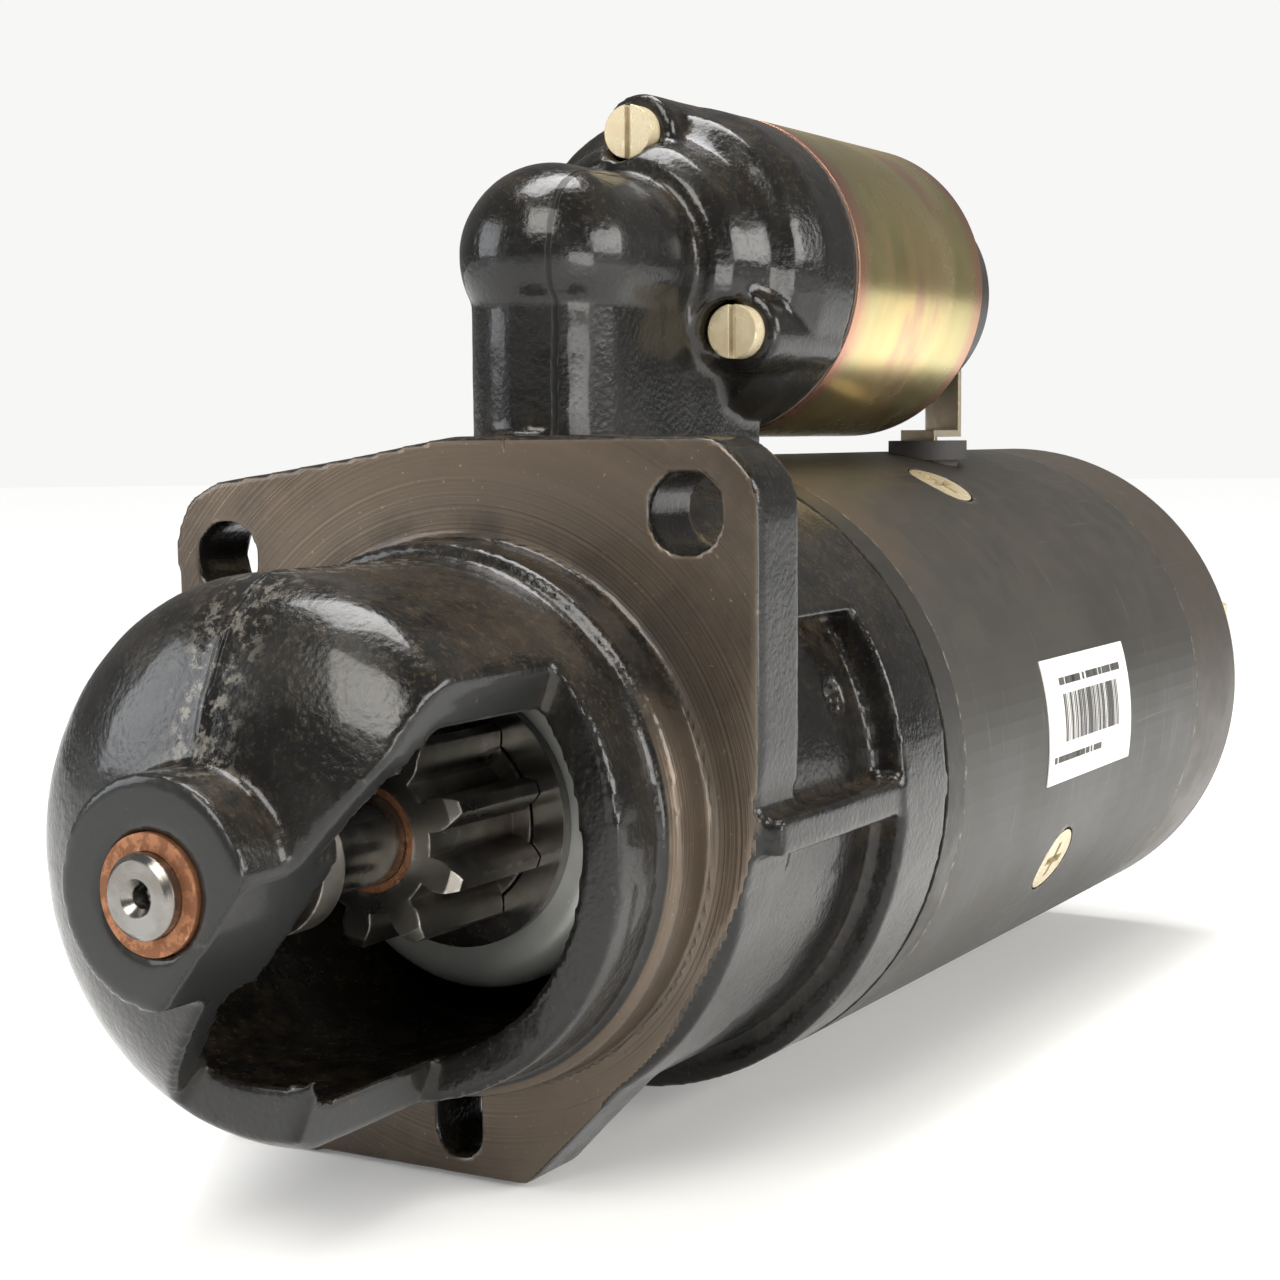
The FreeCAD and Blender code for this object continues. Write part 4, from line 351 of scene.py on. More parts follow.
class Finish:
    """One material being laid up: colour, roughness, metal and height, then its shader."""

    def __init__(self, name, base, second, rough, metal, blotch=60.0, contrast=0.5):
        self.material = bpy.data.materials.new(name)
        self.material.use_nodes = True
        self.material.diffuse_color = (*base[:3], 1.0)
        self.material.node_tree.nodes.clear()
        self.nodes = n = Tree(self.material.node_tree)
        patches = n.group("blotches", Size=blotch, Contrast=contrast)
        self.colour = n.mix(patches["Mask"], (*base[:3], 1.0), (*second[:3], 1.0))
        self.rough = n.blend(patches["Mask"], rough[0], rough[1])
        self.metal = metal
        self.height = None
        self.speckle = patches["Speckle"]

    def cover(self, mask, colour=None, rough=None, metal=None):
        """Lay another layer over the masked places."""
        n = self.nodes
        if colour is not None:
            if not isinstance(colour, bpy.types.NodeSocket):
                colour = (*colour[:3], 1.0)
            self.colour = n.mix(mask, self.colour, colour)
        if rough is not None:
            self.rough = n.blend(mask, self.rough, rough)
        if metal is not None:
            self.metal = n.blend(mask, self.metal, metal)

    def raise_by(self, height, depth):
        """Add a height, in metres."""
        n = self.nodes
        part = n.math("MULTIPLY", height, depth / MM)
        self.height = part if self.height is None else n.math("ADD", self.height, part)

    def grain(self, size, depth, pits=0.3):
        marks = self.nodes.group("casting grain", Size=size, Pits=pits)
        self.raise_by(marks["Height"], depth)
        return marks["Hollow"]

    def turned(self, spacing, depth, axis_height=0.0, tint=0.0, tint_colour=(0, 0, 0)):
        marks = self.nodes.group("turned marks", Spacing=spacing, Axis_Height=axis_height)
        self.raise_by(marks["Height"], depth)
        if tint:
            self.cover(self.nodes.math("MULTIPLY", marks["Band"], tint), tint_colour)

    def wear(self, width, amount, colour, rough=0.35, metal=1.0, breakup=350.0):
        mask = self.nodes.group("edge wear", Width=width, Amount=amount, Breakup=breakup)["Mask"]
        self.cover(mask, colour, rough, metal)

    def dust(self, amount, colour, reach=6 * MM, breakup=160.0):
        mask = self.nodes.group("settled dust", Reach=reach, Amount=amount,
            Breakup=breakup)["Mask"]
        self.cover(mask, colour, 0.85, 0.0)

    def scratch(self, density, colour, rough=0.3, metal=1.0):
        self.cover(self.nodes.group("scratches", Density=density)["Mask"], colour, rough, metal)

    def done(self, rounding=0.35 * MM, coat=0.0, coat_rough=0.15, **fixed):
        n = self.nodes
        normal = n.add("ShaderNodeBevel", {"Radius": rounding}, samples=3).outputs[0]
        if self.height is not None:
            normal = n.add("ShaderNodeBump", {"Strength": 1.0, "Distance": MM, "Height":
                self.height, "Normal": normal}).outputs[0]
        shader = n.add("ShaderNodeBsdfPrincipled", {"Base Color": self.colour, "Roughness":
            self.rough, "Metallic": self.metal, "Normal": normal, "Coat Weight": coat,
            "Coat Roughness": coat_rough, **fixed, })
        n.add("ShaderNodeOutputMaterial", {"Surface": shader.outputs[0]})
        return self.material


def metal_finish(name, base, second, rough, turned=None, axis_height=0.0, grain=None, wear=None,
                 dust=0.25, scratches=0.3, rounding=0.35 * MM, blotch=60.0, contrast=0.4,
                 metal=1.0, coat=0.0):
    """A metal with tool marks, rubbed edges that are also painted edge highlights, fine scratches
    and some dust.
    """
    colours = bpy.context.scene.starter_finish
    made = Finish(name, base, second, rough, metal, blotch, contrast)
    if turned:
        made.turned(turned[0], turned[1], axis_height, 0.25, second)
    if grain:
        made.grain(*grain)
    # rubbed edges in a lighter, shinier copy of the base: edge wear and painted edge highlights at
    # once
    if wear:
        made.wear(0.7 * MM, wear, tuple(min(1.0, c * 1.6 + 0.05) for c in base[:3]), 0.28)
    if scratches:
        made.scratch(scratches, tuple(min(1.0, c * 1.35 + 0.03) for c in base[:3]), rough[0])
    if dust:
        made.dust(dust, colours.dust, 3 * MM, 260.0)
    return made.done(rounding, coat)


def skin_finish(name, base, second, rough, grain, dust=0.3, rounding=0.4 * MM, weave=None,
                coat=0.0):
    """A plastic, rubber, paper or cloth surface."""
    colours = bpy.context.scene.starter_finish
    made = Finish(name, base, second, rough, 0.0, 90.0, 0.3)
    made.grain(*grain)
    if weave:
        n = made.nodes
        x, y, z = n.parts(n.place())
        first = n.math("SINE", n.math("MULTIPLY", n.math("ADD", x, z), weave))
        other = n.math("SINE", n.math("MULTIPLY", n.math("SUBTRACT", x, n.math("ADD", y, z)),
            weave))
        threads = n.math("MULTIPLY", first, other)
        made.raise_by(threads, 0.06 * MM)
        made.cover(n.step(threads, 0.0, -0.8, 0.0, 0.6), tuple(0.5 * c for c in base[:3]))
    if dust:
        made.dust(dust, colours.dust, 4 * MM, 240.0)
    return made.done(rounding, coat)


def casting_finish():
    """Gloss paint over pebbled iron, with bare turned faces, cut faces, seams, chips, dust and
    painted glints.
    """
    colours = bpy.context.scene.starter_finish
    made = Finish("painted casting", colours.paint, (0.0090, 0.0088, 0.0080), (0.16, 0.28), 0.0,
        70.0, 0.45)
    n = made.nodes
    x, y, z = n.parts(n.place())
    out_x, out_y, out_z = n.parts(n.true_facing())
    radius = n.math("SQRT", n.math("ADD", n.math("MULTIPLY", y, y), n.math("MULTIPLY", z, z)))
    ahead = n.math("MULTIPLY", out_x, -1.0)
    looks_ahead = n.step(ahead, 0.75, 0.93)

    # bare turned faces: the flange's face and the pilot
    on_flange = n.math("MULTIPLY", n.step(n.math("ABSOLUTE", x), 0.9 * MM, 0.5 * MM), looks_ahead)
    on_pilot = n.math("MULTIPLY", n.step(radius, 0.0428, 0.0434), n.step(radius, 0.0452, 0.0447))
    on_pilot = n.math("MULTIPLY", on_pilot, n.step(x, -0.0112, -0.0104))
    on_pilot = n.math("MULTIPLY", on_pilot, n.step(x, 0.0012, 0.0004))
    uneven = n.noise(n.place(), 55.0, 4.0, 0.6)
    # overspray keeps the pilot's top black
    on_pilot = n.math("MULTIPLY", on_pilot, n.step(n.math("MULTIPLY_ADD", uneven, 0.02, z), 0.034,
        0.022))
    turned_zone = n.math("MAXIMUM", on_flange, on_pilot)

    # faces milled flat: the window and the boss
    cut_zone = None
    for angle in CUT_FACES:
        side = (0.0, math.cos(math.radians(angle)), math.sin(math.radians(angle)))
        flat = n.step(n.vector("DOT_PRODUCT", n.true_facing(), side), 0.975, 0.995)
        cut_zone = flat if cut_zone is None else n.math("MAXIMUM", cut_zone, flat)
    cut_zone = n.math("MULTIPLY", cut_zone, n.step(x, -0.017, -0.022))
    boss_face = n.math("MULTIPLY", n.step(x, NOSE_FACE, NOSE_FACE - 0.5 * MM), looks_ahead)
    smooth_zone = n.math("MAXIMUM", cut_zone, boss_face)

    marks = n.group("casting grain", Size=1050.0, Pits=0.15)
    calm = n.math("SUBTRACT", 1.0, n.math("MAXIMUM", n.math("MULTIPLY", turned_zone, 0.93),
        n.math("MULTIPLY", smooth_zone, 0.75)), clamp=True)
    made.raise_by(n.math("MULTIPLY", marks["Height"], calm), 0.17 * MM)
    # the tops of the pebbles are painted lighter and glossier: painted glints of the light
    made.cover(n.math("MULTIPLY", n.step(marks["Height"], 0.75, 1.05), calm), (0.034, 0.030,
        0.024), 0.2)

    # the parting line runs along the middle plane
    wander = n.math("MULTIPLY_ADD", n.noise(n.place(), 120.0, 2.0), 0.0016, y)
    off_seam = n.math("ABSOLUTE", n.math("SUBTRACT", wander, 0.0008))
    seam = n.step(off_seam, 0.9 * MM, 0.2 * MM)
    on_nose = n.math("MULTIPLY", n.step(x, -0.014, -0.018), n.step(z, 0.006, 0.012))
    on_nose = n.math("MULTIPLY", on_nose, n.step(x, BOSS_FRONT - 0.5 * MM, BOSS_FRONT))
    on_tower = n.math("MULTIPLY", n.step(z, 0.058, 0.062), n.step(x, 0.052, 0.046))
    made.raise_by(n.math("MULTIPLY", seam, on_nose), 0.5 * MM)
    off_crack = n.math("ABSOLUTE", n.math("SUBTRACT", wander, 0.8 * MM + TOWER_SEAM))
    crack = n.math("MULTIPLY", n.step(off_crack, 0.5 * MM, 0.1 * MM), on_tower)
    made.raise_by(crack, -0.8 * MM)
    made.cover(crack, (0.004, 0.004, 0.004), 0.8)
    rubbed = n.math("MULTIPLY", n.step(off_seam, 9 * MM, 2 * MM), on_nose)
    rubbed = n.math("MULTIPLY", rubbed, n.step(n.noise(n.place(), 420.0, 4.0, 0.7), 0.5, 0.62))
    made.cover(n.math("MULTIPLY", rubbed, 0.7), (0.16, 0.15, 0.13), 0.38, 0.6)

    # slate grey cut faces with a little rust
    made.cover(smooth_zone, (0.010, 0.0105, 0.0105), 0.34)
    stain = n.math("MULTIPLY", smooth_zone,
                   n.step(n.noise(n.place(), 210.0, 5.0, 0.7), 0.66, 0.78))
    made.cover(stain, colours.rust, 0.7)

    # bare iron with rings
    rings = n.group("turned marks", Spacing=0.55 * MM)
    made.raise_by(n.math("MULTIPLY", rings["Height"], turned_zone), 0.10 * MM)
    iron = n.mix(rings["Band"], tuple(colours.bare_iron), (0.088, 0.068, 0.051, 1.0))
    darker = n.step(n.noise(n.place(), 26.0, 5.0, 0.65), 0.40, 0.66)
    iron = n.mix(darker, iron, (0.066, 0.052, 0.040, 1.0))
    specks = n.step(n.noise(n.place(), 900.0, 3.0), 0.66, 0.74)
    iron = n.mix(specks, iron, (0.20, 0.16, 0.115, 1.0))
    made.cover(turned_zone, iron, 0.40, 0.85)
    overspray = n.math("MULTIPLY", turned_zone, n.step(radius, 0.0535, 0.0450, 0.0, 0.8))
    overspray = n.math("MULTIPLY", overspray, n.step(z, -0.010, 0.030))
    made.cover(n.math("MULTIPLY", overspray, n.step(uneven, 0.35, 0.6)), (0.02, 0.018, 0.016), 0.4,
        0.2)

    made.dust(0.38, colours.dust, 7 * MM, 210.0)
    # golden specks, more on faces that look up: painted highlight specks of the top light
    highlight_specks = n.math("MULTIPLY", made.speckle, n.step(out_z, -0.2, 0.8, 0.0, 0.10))
    made.cover(highlight_specks, (0.17, 0.12, 0.06), 0.6)
    made.wear(0.8 * MM, 0.45, (0.26, 0.23, 0.19), 0.38, 0.9, 260.0)
    return made.done(0.3 * MM, 0.28, 0.08, **{"Specular IOR Level": 0.20})


def yoke_finish():
    """Satin grey paint with faint brushed streaks round the frame, lightened as painted streak
    highlights, and a brown patch in front.
    """
    colours = bpy.context.scene.starter_finish
    made = Finish("yoke paint", colours.yoke, (0.036, 0.033, 0.028), (0.38, 0.48), 0.0, 22.0, 0.3)
    n = made.nodes
    x, y, z = n.parts(n.place())
    made.turned(0.5 * MM, 0.012 * MM, 0.0, 0.35, (0.030, 0.028, 0.024))
    front = n.step(n.math("MULTIPLY_ADD", n.noise(n.place(), 45.0, 5.0, 0.7), 0.05, x), 0.118,
        0.098)
    top = n.step(z, 0.028, 0.052)
    made.cover(n.math("MULTIPLY", n.math("MULTIPLY", front, top), 0.6), (0.085, 0.055, 0.03), 0.5,
        0.2)
    # lighter, glossier streaks round the frame: brushed marks lightened as painted streak
    # highlights
    streaks = n.add("ShaderNodeMapping", {"Vector": n.place(), "Scale": (900.0, 60.0, 60.0)})
    made.cover(n.step(n.noise(streaks.outputs[0], 1.0, 3.0), 0.60, 0.75, 0.0, 0.4), (0.075, 0.069,
        0.058), 0.3)
    made.grain(1300.0, 0.02 * MM, 0.1)
    made.scratch(0.5, (0.11, 0.10, 0.085), 0.3, 0.7)
    made.wear(1.1 * MM, 0.6, (0.30, 0.27, 0.22))
    made.dust(0.35, colours.dust, 4 * MM, 150.0)
    return made.done(0.4 * MM, 0.05, 0.3, **{"Specular IOR Level": 0.28})


def zinc_finish():
    """Yellow zinc plating, its colour drifting between gold, green and pink."""
    colours = bpy.context.scene.starter_finish
    made = Finish("yellow zinc", colours.zinc, (0.66, 0.56, 0.30), (0.20, 0.30), 1.0, 30.0, 0.2)
    n = made.nodes
    x, y, z = n.parts(n.place())
    stretch = n.add("ShaderNodeMapping", {"Vector": n.place(), "Scale": (60.0, 22.0, 22.0)})
    drift = n.noise(stretch.outputs[0], 1.0, 4.0, 0.55)
    made.cover(n.step(drift, 0.50, 0.62, 0.0, 0.45), (0.46, 0.47, 0.20))
    made.cover(n.step(drift, 0.46, 0.34, 0.0, 0.6), (0.62, 0.30, 0.26))
    ends = n.math("MAXIMUM", n.step(x, 0.094, 0.087), n.step(x, 0.140, 0.1475))
    made.cover(n.math("MULTIPLY", ends, 0.75), (0.50, 0.21, 0.19), 0.3)
    band = n.math("MULTIPLY", n.step(x, 0.099, 0.094), n.step(x, 0.088, 0.093))
    made.cover(n.math("MULTIPLY", band, 0.35), (0.36, 0.42, 0.24))
    made.turned(0.35 * MM, 0.02 * MM, 91 * MM, 0.2, (0.42, 0.30, 0.12))
    made.grain(1500.0, 0.015 * MM, 0.1)
    made.scratch(0.35, (0.80, 0.72, 0.52), 0.25)
    stain = n.step(n.noise(n.place(), 70.0, 5.0, 0.7), 0.60, 0.72, 0.0, 0.3)
    made.cover(stain, (0.20, 0.15, 0.06), 0.4)
    return made.done(0.4 * MM)


def label_finish():
    """White paper with a faint yellowing and soft creases."""
    made = Finish("label paper", (0.66, 0.66, 0.64), (0.60, 0.59, 0.56), (0.42, 0.55), 0.0, 120.0,
        0.4)
    made.grain(2600.0, 0.012 * MM, 0.1)
    made.wear(0.4 * MM, 0.5, (0.5, 0.48, 0.44), 0.7, 0.0)
    return made.done(0.1 * MM)


def make_finishes():
    """Every finish of the starter, by the record's material slots."""
    colours = bpy.context.scene.starter_finish
    for maker in (make_casting_grain, make_edge_wear, make_settled_dust, make_turned_marks,
                  make_blotches, make_scratches):
        maker()
    solenoid = 91 * MM
    return {
        "cast_black": casting_finish(),
        "frame_grey": yoke_finish(),
        "yellow_zinc": zinc_finish(),
        "label_white": label_finish(),
        "bronze": metal_finish("sintered bronze", (0.29, 0.13, 0.065), (0.19, 0.083, 0.041), (0.46,
            0.62), grain=(2400.0, 0.10 * MM, 0.9), wear=0.5, scratches=0.0, metal=0.8,
            blotch=420.0, contrast=0.7),
        "bright_steel": metal_finish("ground steel", (0.23, 0.225, 0.215), (0.17, 0.16, 0.145),
            (0.17, 0.28), turned=(0.25 * MM, 0.014 * MM), dust=0.15, contrast=0.5, blotch=90.0),
        "dark_steel": metal_finish("hardened steel", (0.26, 0.245, 0.22), (0.17, 0.155, 0.135),
            (0.27, 0.42), turned=(0.4 * MM, 0.012 * MM), grain=(1500.0, 0.02 * MM, 0.3), wear=0.7,
            dust=0.3),
        "plate_grey": metal_finish("bare casting", (0.040, 0.037, 0.032), (0.028, 0.026, 0.023),
            (0.36, 0.5), turned=(0.6 * MM, 0.03 * MM), grain=(1100.0, 0.05 * MM, 0.3), wear=0.6,
            metal=0.5),
        "cover_grey": metal_finish("cover paint", (0.062, 0.052, 0.041), (0.045, 0.038, 0.031),
            (0.40, 0.52), turned=(0.6 * MM, 0.012 * MM), grain=(1200.0, 0.02 * MM, 0.1), wear=0.5,
            dust=0.35, metal=0.35, blotch=30.0),
        "pale_zinc": metal_finish("pale zinc", (0.62, 0.54, 0.37), (0.50, 0.42, 0.27), (0.26,
            0.40), turned=(0.3 * MM, 0.01 * MM), grain=(1800.0, 0.02 * MM, 0.2), wear=0.5,
            dust=0.2, blotch=240.0, contrast=0.6, metal=0.35),
        "cap_black": skin_finish("moulded cap", (0.017, 0.016, 0.016), (0.026, 0.025, 0.023),
            (0.35, 0.5), (1400.0, 0.03 * MM, 0.1), coat=0.1),
        "rubber_black": skin_finish("black rubber", (0.014, 0.013, 0.013), (0.03, 0.028, 0.026),
            (0.6, 0.8), (1600.0, 0.05 * MM, 0.2), dust=0.5),
        "copper": metal_finish("bare copper", (0.62, 0.27, 0.14), (0.36, 0.15, 0.075), (0.24, 0.4),
            turned=(0.3 * MM, 0.012 * MM), wear=0.5, blotch=150.0, axis_height=solenoid),
        "enamelled_copper": metal_finish("enamelled winding", (0.30, 0.095, 0.035), (0.20, 0.06,
            0.025), (0.25, 0.4), turned=(0.9 * MM, 0.14 * MM), axis_height=solenoid, metal=0.5,
            coat=0.5),
        "tape": skin_finish("varnished tape", (0.34, 0.25, 0.13), (0.22, 0.15, 0.075), (0.4, 0.6),
            (1500.0, 0.03 * MM, 0.1), weave=5200.0, coat=0.25),
        "core_steel": metal_finish("electrical steel", (0.13, 0.12, 0.11), (0.09, 0.082, 0.075),
            (0.35, 0.5), turned=(0.5 * MM, 0.05 * MM), wear=0.5),
        "carbon": skin_finish("copper graphite", (0.040, 0.034, 0.030), (0.07, 0.045, 0.032), (0.4,
            0.55), (2200.0, 0.04 * MM, 0.4)),
        "spring_steel": metal_finish("spring steel", (0.16, 0.155, 0.15), (0.10, 0.095, 0.09),
            (0.25, 0.38), grain=(1800.0, 0.015 * MM, 0.1)),
        "clutch_grey": metal_finish("pressed steel", (0.47, 0.48, 0.46), (0.38, 0.385, 0.365),
            (0.28, 0.40), turned=(0.5 * MM, 0.01 * MM), grain=(900.0, 0.02 * MM, 0.1), metal=0.55,
            dust=0.15, rounding=1.2 * MM),
        "tinned": metal_finish("tinned copper", (0.50, 0.44, 0.33), (0.38, 0.32, 0.22), (0.34,
            0.5), grain=(1000.0, 0.06 * MM, 0.3), wear=0.4, dust=0.4),
        "forged_iron": metal_finish("forged iron", (0.055, 0.050, 0.045), (0.035, 0.031, 0.028),
            (0.4, 0.55), grain=(800.0, 0.16 * MM, 0.6), wear=0.6, metal=0.6),
        "gasket_paper": skin_finish("gasket paper", (0.05, 0.043, 0.037), (0.07, 0.06, 0.05), (0.7,
            0.85), (1800.0, 0.04 * MM, 0.2)),
        "ink": skin_finish("label ink", bpy.context.scene.starter_label.ink, (0.06, 0.057, 0.054),
            (0.5, 0.6), (2600.0, 0.01 * MM, 0.1), dust=0.0),
    }


FINISHES = {}
SLOTS = {row["node"]: row["material_slot"] for row in frame["record"]["subparts"]}


def finish_of(slot):
    if not FINISHES:
        FINISHES.update(make_finishes())
    return FINISHES[slot]


def dress(*names):
    """Give packed nodes the finish of their own slot."""
    for name in names:
        mesh = frame["nodes"][name].data
        mesh.materials.clear()
        mesh.materials.append(finish_of(SLOTS[name]))


# ---------------------------------------------------------------- mesh helpers

def new_object(name, mesh):
    made = bpy.data.objects.new(name, mesh)
    bpy.context.scene.collection.objects.link(made)
    return made


def flatten(obj, name):
    """The evaluated shape of an object as a plain mesh of its own."""
    view = bpy.context.evaluated_depsgraph_get()
    mesh = bpy.data.meshes.new_from_object(obj.evaluated_get(view))
    mesh.name = name
    bpy.data.objects.remove(obj)
    return new_object(name, mesh)


def grown(name, tree, inputs, materials=()):
    """Run a geometry tree once and keep its result as a plain piece."""
    carrier = new_object(name + "_carrier", bpy.data.meshes.new(name + "_carrier"))
    modifier = carrier.modifiers.new("Build", "NODES")
    modifier.node_group = tree
    sockets = {item.name: item.identifier for item in tree.interface.items_tree if item.item_type
        == "SOCKET" and item.in_out == "INPUT"}
    for label, value in inputs.items():
        modifier[sockets[label]] = value
    piece = flatten(carrier, name)
    if materials:
        piece.data.materials.clear()
        for material in materials:
            piece.data.materials.append(material)
    return piece


def settle(piece, body, smooth=False):
    """Finish a new piece: it is shaded flat or smooth and rides on its body."""
    piece.data.polygons.foreach_set("use_smooth", [smooth] * len(piece.data.polygons))
    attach(piece, body)
    return piece


def merged_copy(node, name):
    mesh = bpy.data.meshes.new(name)
    shape = bmesh.new()
    shape.from_mesh(frame["nodes"][node].data)
    bmesh.ops.remove_doubles(shape, verts=shape.verts, dist=1e-6)
    shape.to_mesh(mesh)
    shape.free()
    return new_object(name, mesh)


# ---------------------------------------------------------------- operators

class Dressing:
    """An operator that only gives its nodes their finishes."""

    nodes = ()

    def execute(self, context):
        dress(*self.nodes)
        return {"FINISHED"}


class STARTER_OT_casting(bpy.types.Operator):
    """Make the drive end housing as one rough iron casting with soft fillets"""

    bl_idname = "starter.casting"
    bl_label = "Drive end casting"

    def execute(self, context):
        settings = context.scene.starter_casting
        raw = merged_copy("drive_end_housing", "casting_raw")
        remesh = raw.modifiers.new("Facets", "REMESH")
        remesh.mode = "VOXEL"
        remesh.voxel_size = settings.voxel
        smooth = raw.modifiers.new("Fillets", "SMOOTH")
        smooth.factor = 0.5
        smooth.iterations = settings.smoothing
        casting = flatten(raw, "drive_end_casting")
        self.roughen(casting.data, settings)
        slim = casting.modifiers.new("Slim", "DECIMATE")
        faces = sum(len(face.vertices) - 2 for face in casting.data.polygons)
        slim.ratio = min(1.0, MOST_TRIANGLES / faces)
        casting = flatten(casting, "drive_end_casting")
        casting.data.materials.clear()
        casting.data.materials.append(finish_of("cast_black"))
        settle(casting, HOUSING, smooth=True)
        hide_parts("drive_end_housing")
        return {"FINISHED"}

    def roughen(self, mesh, settings):
        """Push the cast skin in by soft lumps, and raise the parting line on the nose."""
        count = len(mesh.vertices)
        places = np.empty(count * 3, np.float32)
        facing = np.empty(count * 3, np.float32)
        mesh.vertices.foreach_get("co", places)
        mesh.vertex_normals.foreach_get("vector", facing)
        places, facing = places.reshape(-1, 3), facing.reshape(-1, 3)
        radius = np.hypot(places[:, 1], places[:, 2])
        machined = (np.abs(places[:, 0]) < 0.8 * MM) & (facing[:, 0] < -0.8)
        on_pilot = (radius < PILOT_OUTSIDE) & (radius > PILOT_INSIDE)
        machined |= on_pilot & (np.abs(places[:, 0] + 0.005) < 0.0055)
        machined |= places[:, 0] < NOSE_FACE
        machined |= radius < 0.012
        for angle in CUT_FACES:
            side = (0.0, math.cos(math.radians(angle)), math.sin(math.radians(angle)))
            machined |= (facing @ np.array(side) > 0.97) & (places[:, 0] < -0.018)
        machined |= np.abs(facing[:, 0]) > 0.985
        lumps = np.array([0.0 if still else noise.fractal(Vector(point) / settings.lump_size, 1.0,
            2.1, 3) for point, still in zip(places.tolist(), machined.tolist()) ])
        inward = np.clip(lumps, -1, 1) * 0.5 - 0.5
        seam = np.clip(1 - np.abs(places[:, 1]) / (1.1 * MM), 0, 1)
        seam *= (places[:, 0] < -0.016) & (places[:, 0] > BOSS_FRONT)
        seam *= (places[:, 2] > 0.02) & (facing[:, 2] > 0.1)
        shift = np.where(machined, 0.0, inward * settings.lump_depth)
        shift = shift + seam * settings.seam_height
        places = places + facing * shift[:, None]
        mesh.vertices.foreach_set("co", places.astype(np.float32).ravel())
        mesh.update()


class STARTER_OT_nose_bearing(Dressing, bpy.types.Operator):
    """Finish the shaft's front end, its bush and its stop ring"""

    bl_idname = "starter.nose_bearing"
    bl_label = "Nose bearing"
    nodes = ("front_bush", "stop_ring", "thrust_washers", "retaining_rings", "armature_shaft")


class STARTER_OT_drive(Dressing, bpy.types.Operator):
    """Finish the pinion, the clutch and the sliding collar"""

    bl_idname = "starter.drive"
    bl_label = "Pinion and clutch"
    nodes = ("pinion", "pinion_bush", "clutch_driver", "clutch_cover", "clutch_rollers",
             "meshing_spring", "guide_collar", "collar_snap_ring")


class STARTER_OT_frame(bpy.types.Operator):
    """Finish the field frame, the centre plate and the pole screws"""

    bl_idname = "starter.frame"
    bl_label = "Field frame"

    def execute(self, context):
        dress("centre_bearing_plate", "centre_bush", "pole_shoes", "pole_screws", "field_coils")
        self.open_yoke()
        return {"FINISHED"}

    def open_yoke(self):
        """The frame tube with an open countersink over each pole screw."""
        low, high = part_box("pole_screws")
        middle = (low.x + high.x) / 2
        yoke = merged_copy("field_frame", "yoke_raw")
        for turn in range(4):
            angle = math.radians(POLE_ANGLE + 90 * turn)
            outward = Vector((0, math.cos(angle), math.sin(angle)))
            shape = bmesh.new()
            place = Matrix.Translation(Vector((middle, 0, 0)) + outward * SINK_MIDDLE)
            turned = outward.to_track_quat("Z", "Y").to_matrix().to_4x4()
            bmesh.ops.create_cone(
                shape, cap_ends=True, segments=64, radius1=SINK_RADIUS, radius2=SINK_RADIUS,
                depth=SINK_DEPTH, matrix=place @ turned)
            mesh = bpy.data.meshes.new("sink")
            shape.to_mesh(mesh)
            shape.free()
            tool = new_object("sink", mesh)
            cutter = yoke.modifiers.new("Sink", "BOOLEAN")
            cutter.operation = "DIFFERENCE"
            cutter.solver = "EXACT"
            cutter.object = tool
            yoke = flatten(yoke, "yoke")
            bpy.data.objects.remove(tool)
        yoke.data.materials.clear()
        yoke.data.materials.append(finish_of("frame_grey"))
        settle(yoke, HOUSING)
        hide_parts("field_frame")


class STARTER_OT_brush_end(bpy.types.Operator):
    """Finish the brush end cover, the brush gear and the through bolts"""

    bl_idname = "starter.brush_end"
    bl_label = "Brush end"

    def execute(self, context):
        dress("brush_end_cover", "rear_bush", "rear_cap", "rear_cap_screws", "through_bolts",
              "brush_plate", "brush_holders")
        for index in range(1, 5):
            dress(f"brush_{index}", f"brush_spring_{index}")
        return {"FINISHED"}


class STARTER_OT_solenoid(bpy.types.Operator):
    """Finish the solenoid's case, cap and inner pieces"""

    bl_idname = "starter.solenoid"
    bl_label = "Solenoid"

    def execute(self, context):
        dress("solenoid_case", "solenoid_gasket", "solenoid_cap", "solenoid_core",
              "solenoid_winding", "solenoid_screws", "plunger", "plunger_link", "contact_rod",
              "contact_bridge")
        self.coil("plunger_return_spring", "plunger_coil", "plunger_slide", PLUNGER_STROKE)
        self.coil("contact_return_spring", "contact_coil", "contact_slide", CONTACT_STROKE)
        return {"FINISHED"}

    def coil(self, node, name, joint, stroke):
        """A copy of the spring with its own mesh and the spring steel finish, riding on the
        housing.
        """
        spring = merged_copy(node, name)
        spring.data.materials.clear()
        spring.data.materials.append(finish_of("spring_steel"))
        settle(spring, HOUSING, smooth=True)
        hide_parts(node)
        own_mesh(spring)


class STARTER_OT_terminals(Dressing, bpy.types.Operator):
    """Finish the terminals, their nuts and the lead to the field coils"""

    bl_idname = "starter.terminals"
    bl_label = "Terminals"
    nodes = ("battery_terminal", "motor_terminal", "trigger_terminal", "terminal_nuts",
             "field_lead_strap", "strap_grommet")


class STARTER_OT_lever(Dressing, bpy.types.Operator):
    """Finish the shift lever and its pivot bolt"""

    bl_idname = "starter.lever"
    bl_label = "Shift lever"
    nodes = ("shift_lever", "lever_pivot_bolt")


class STARTER_OT_armature(Dressing, bpy.types.Operator):
    """Finish the armature's core, windings and commutator"""

    bl_idname = "starter.armature"
    bl_label = "Armature"
    nodes = ("armature_core", "armature_windings", "commutator")


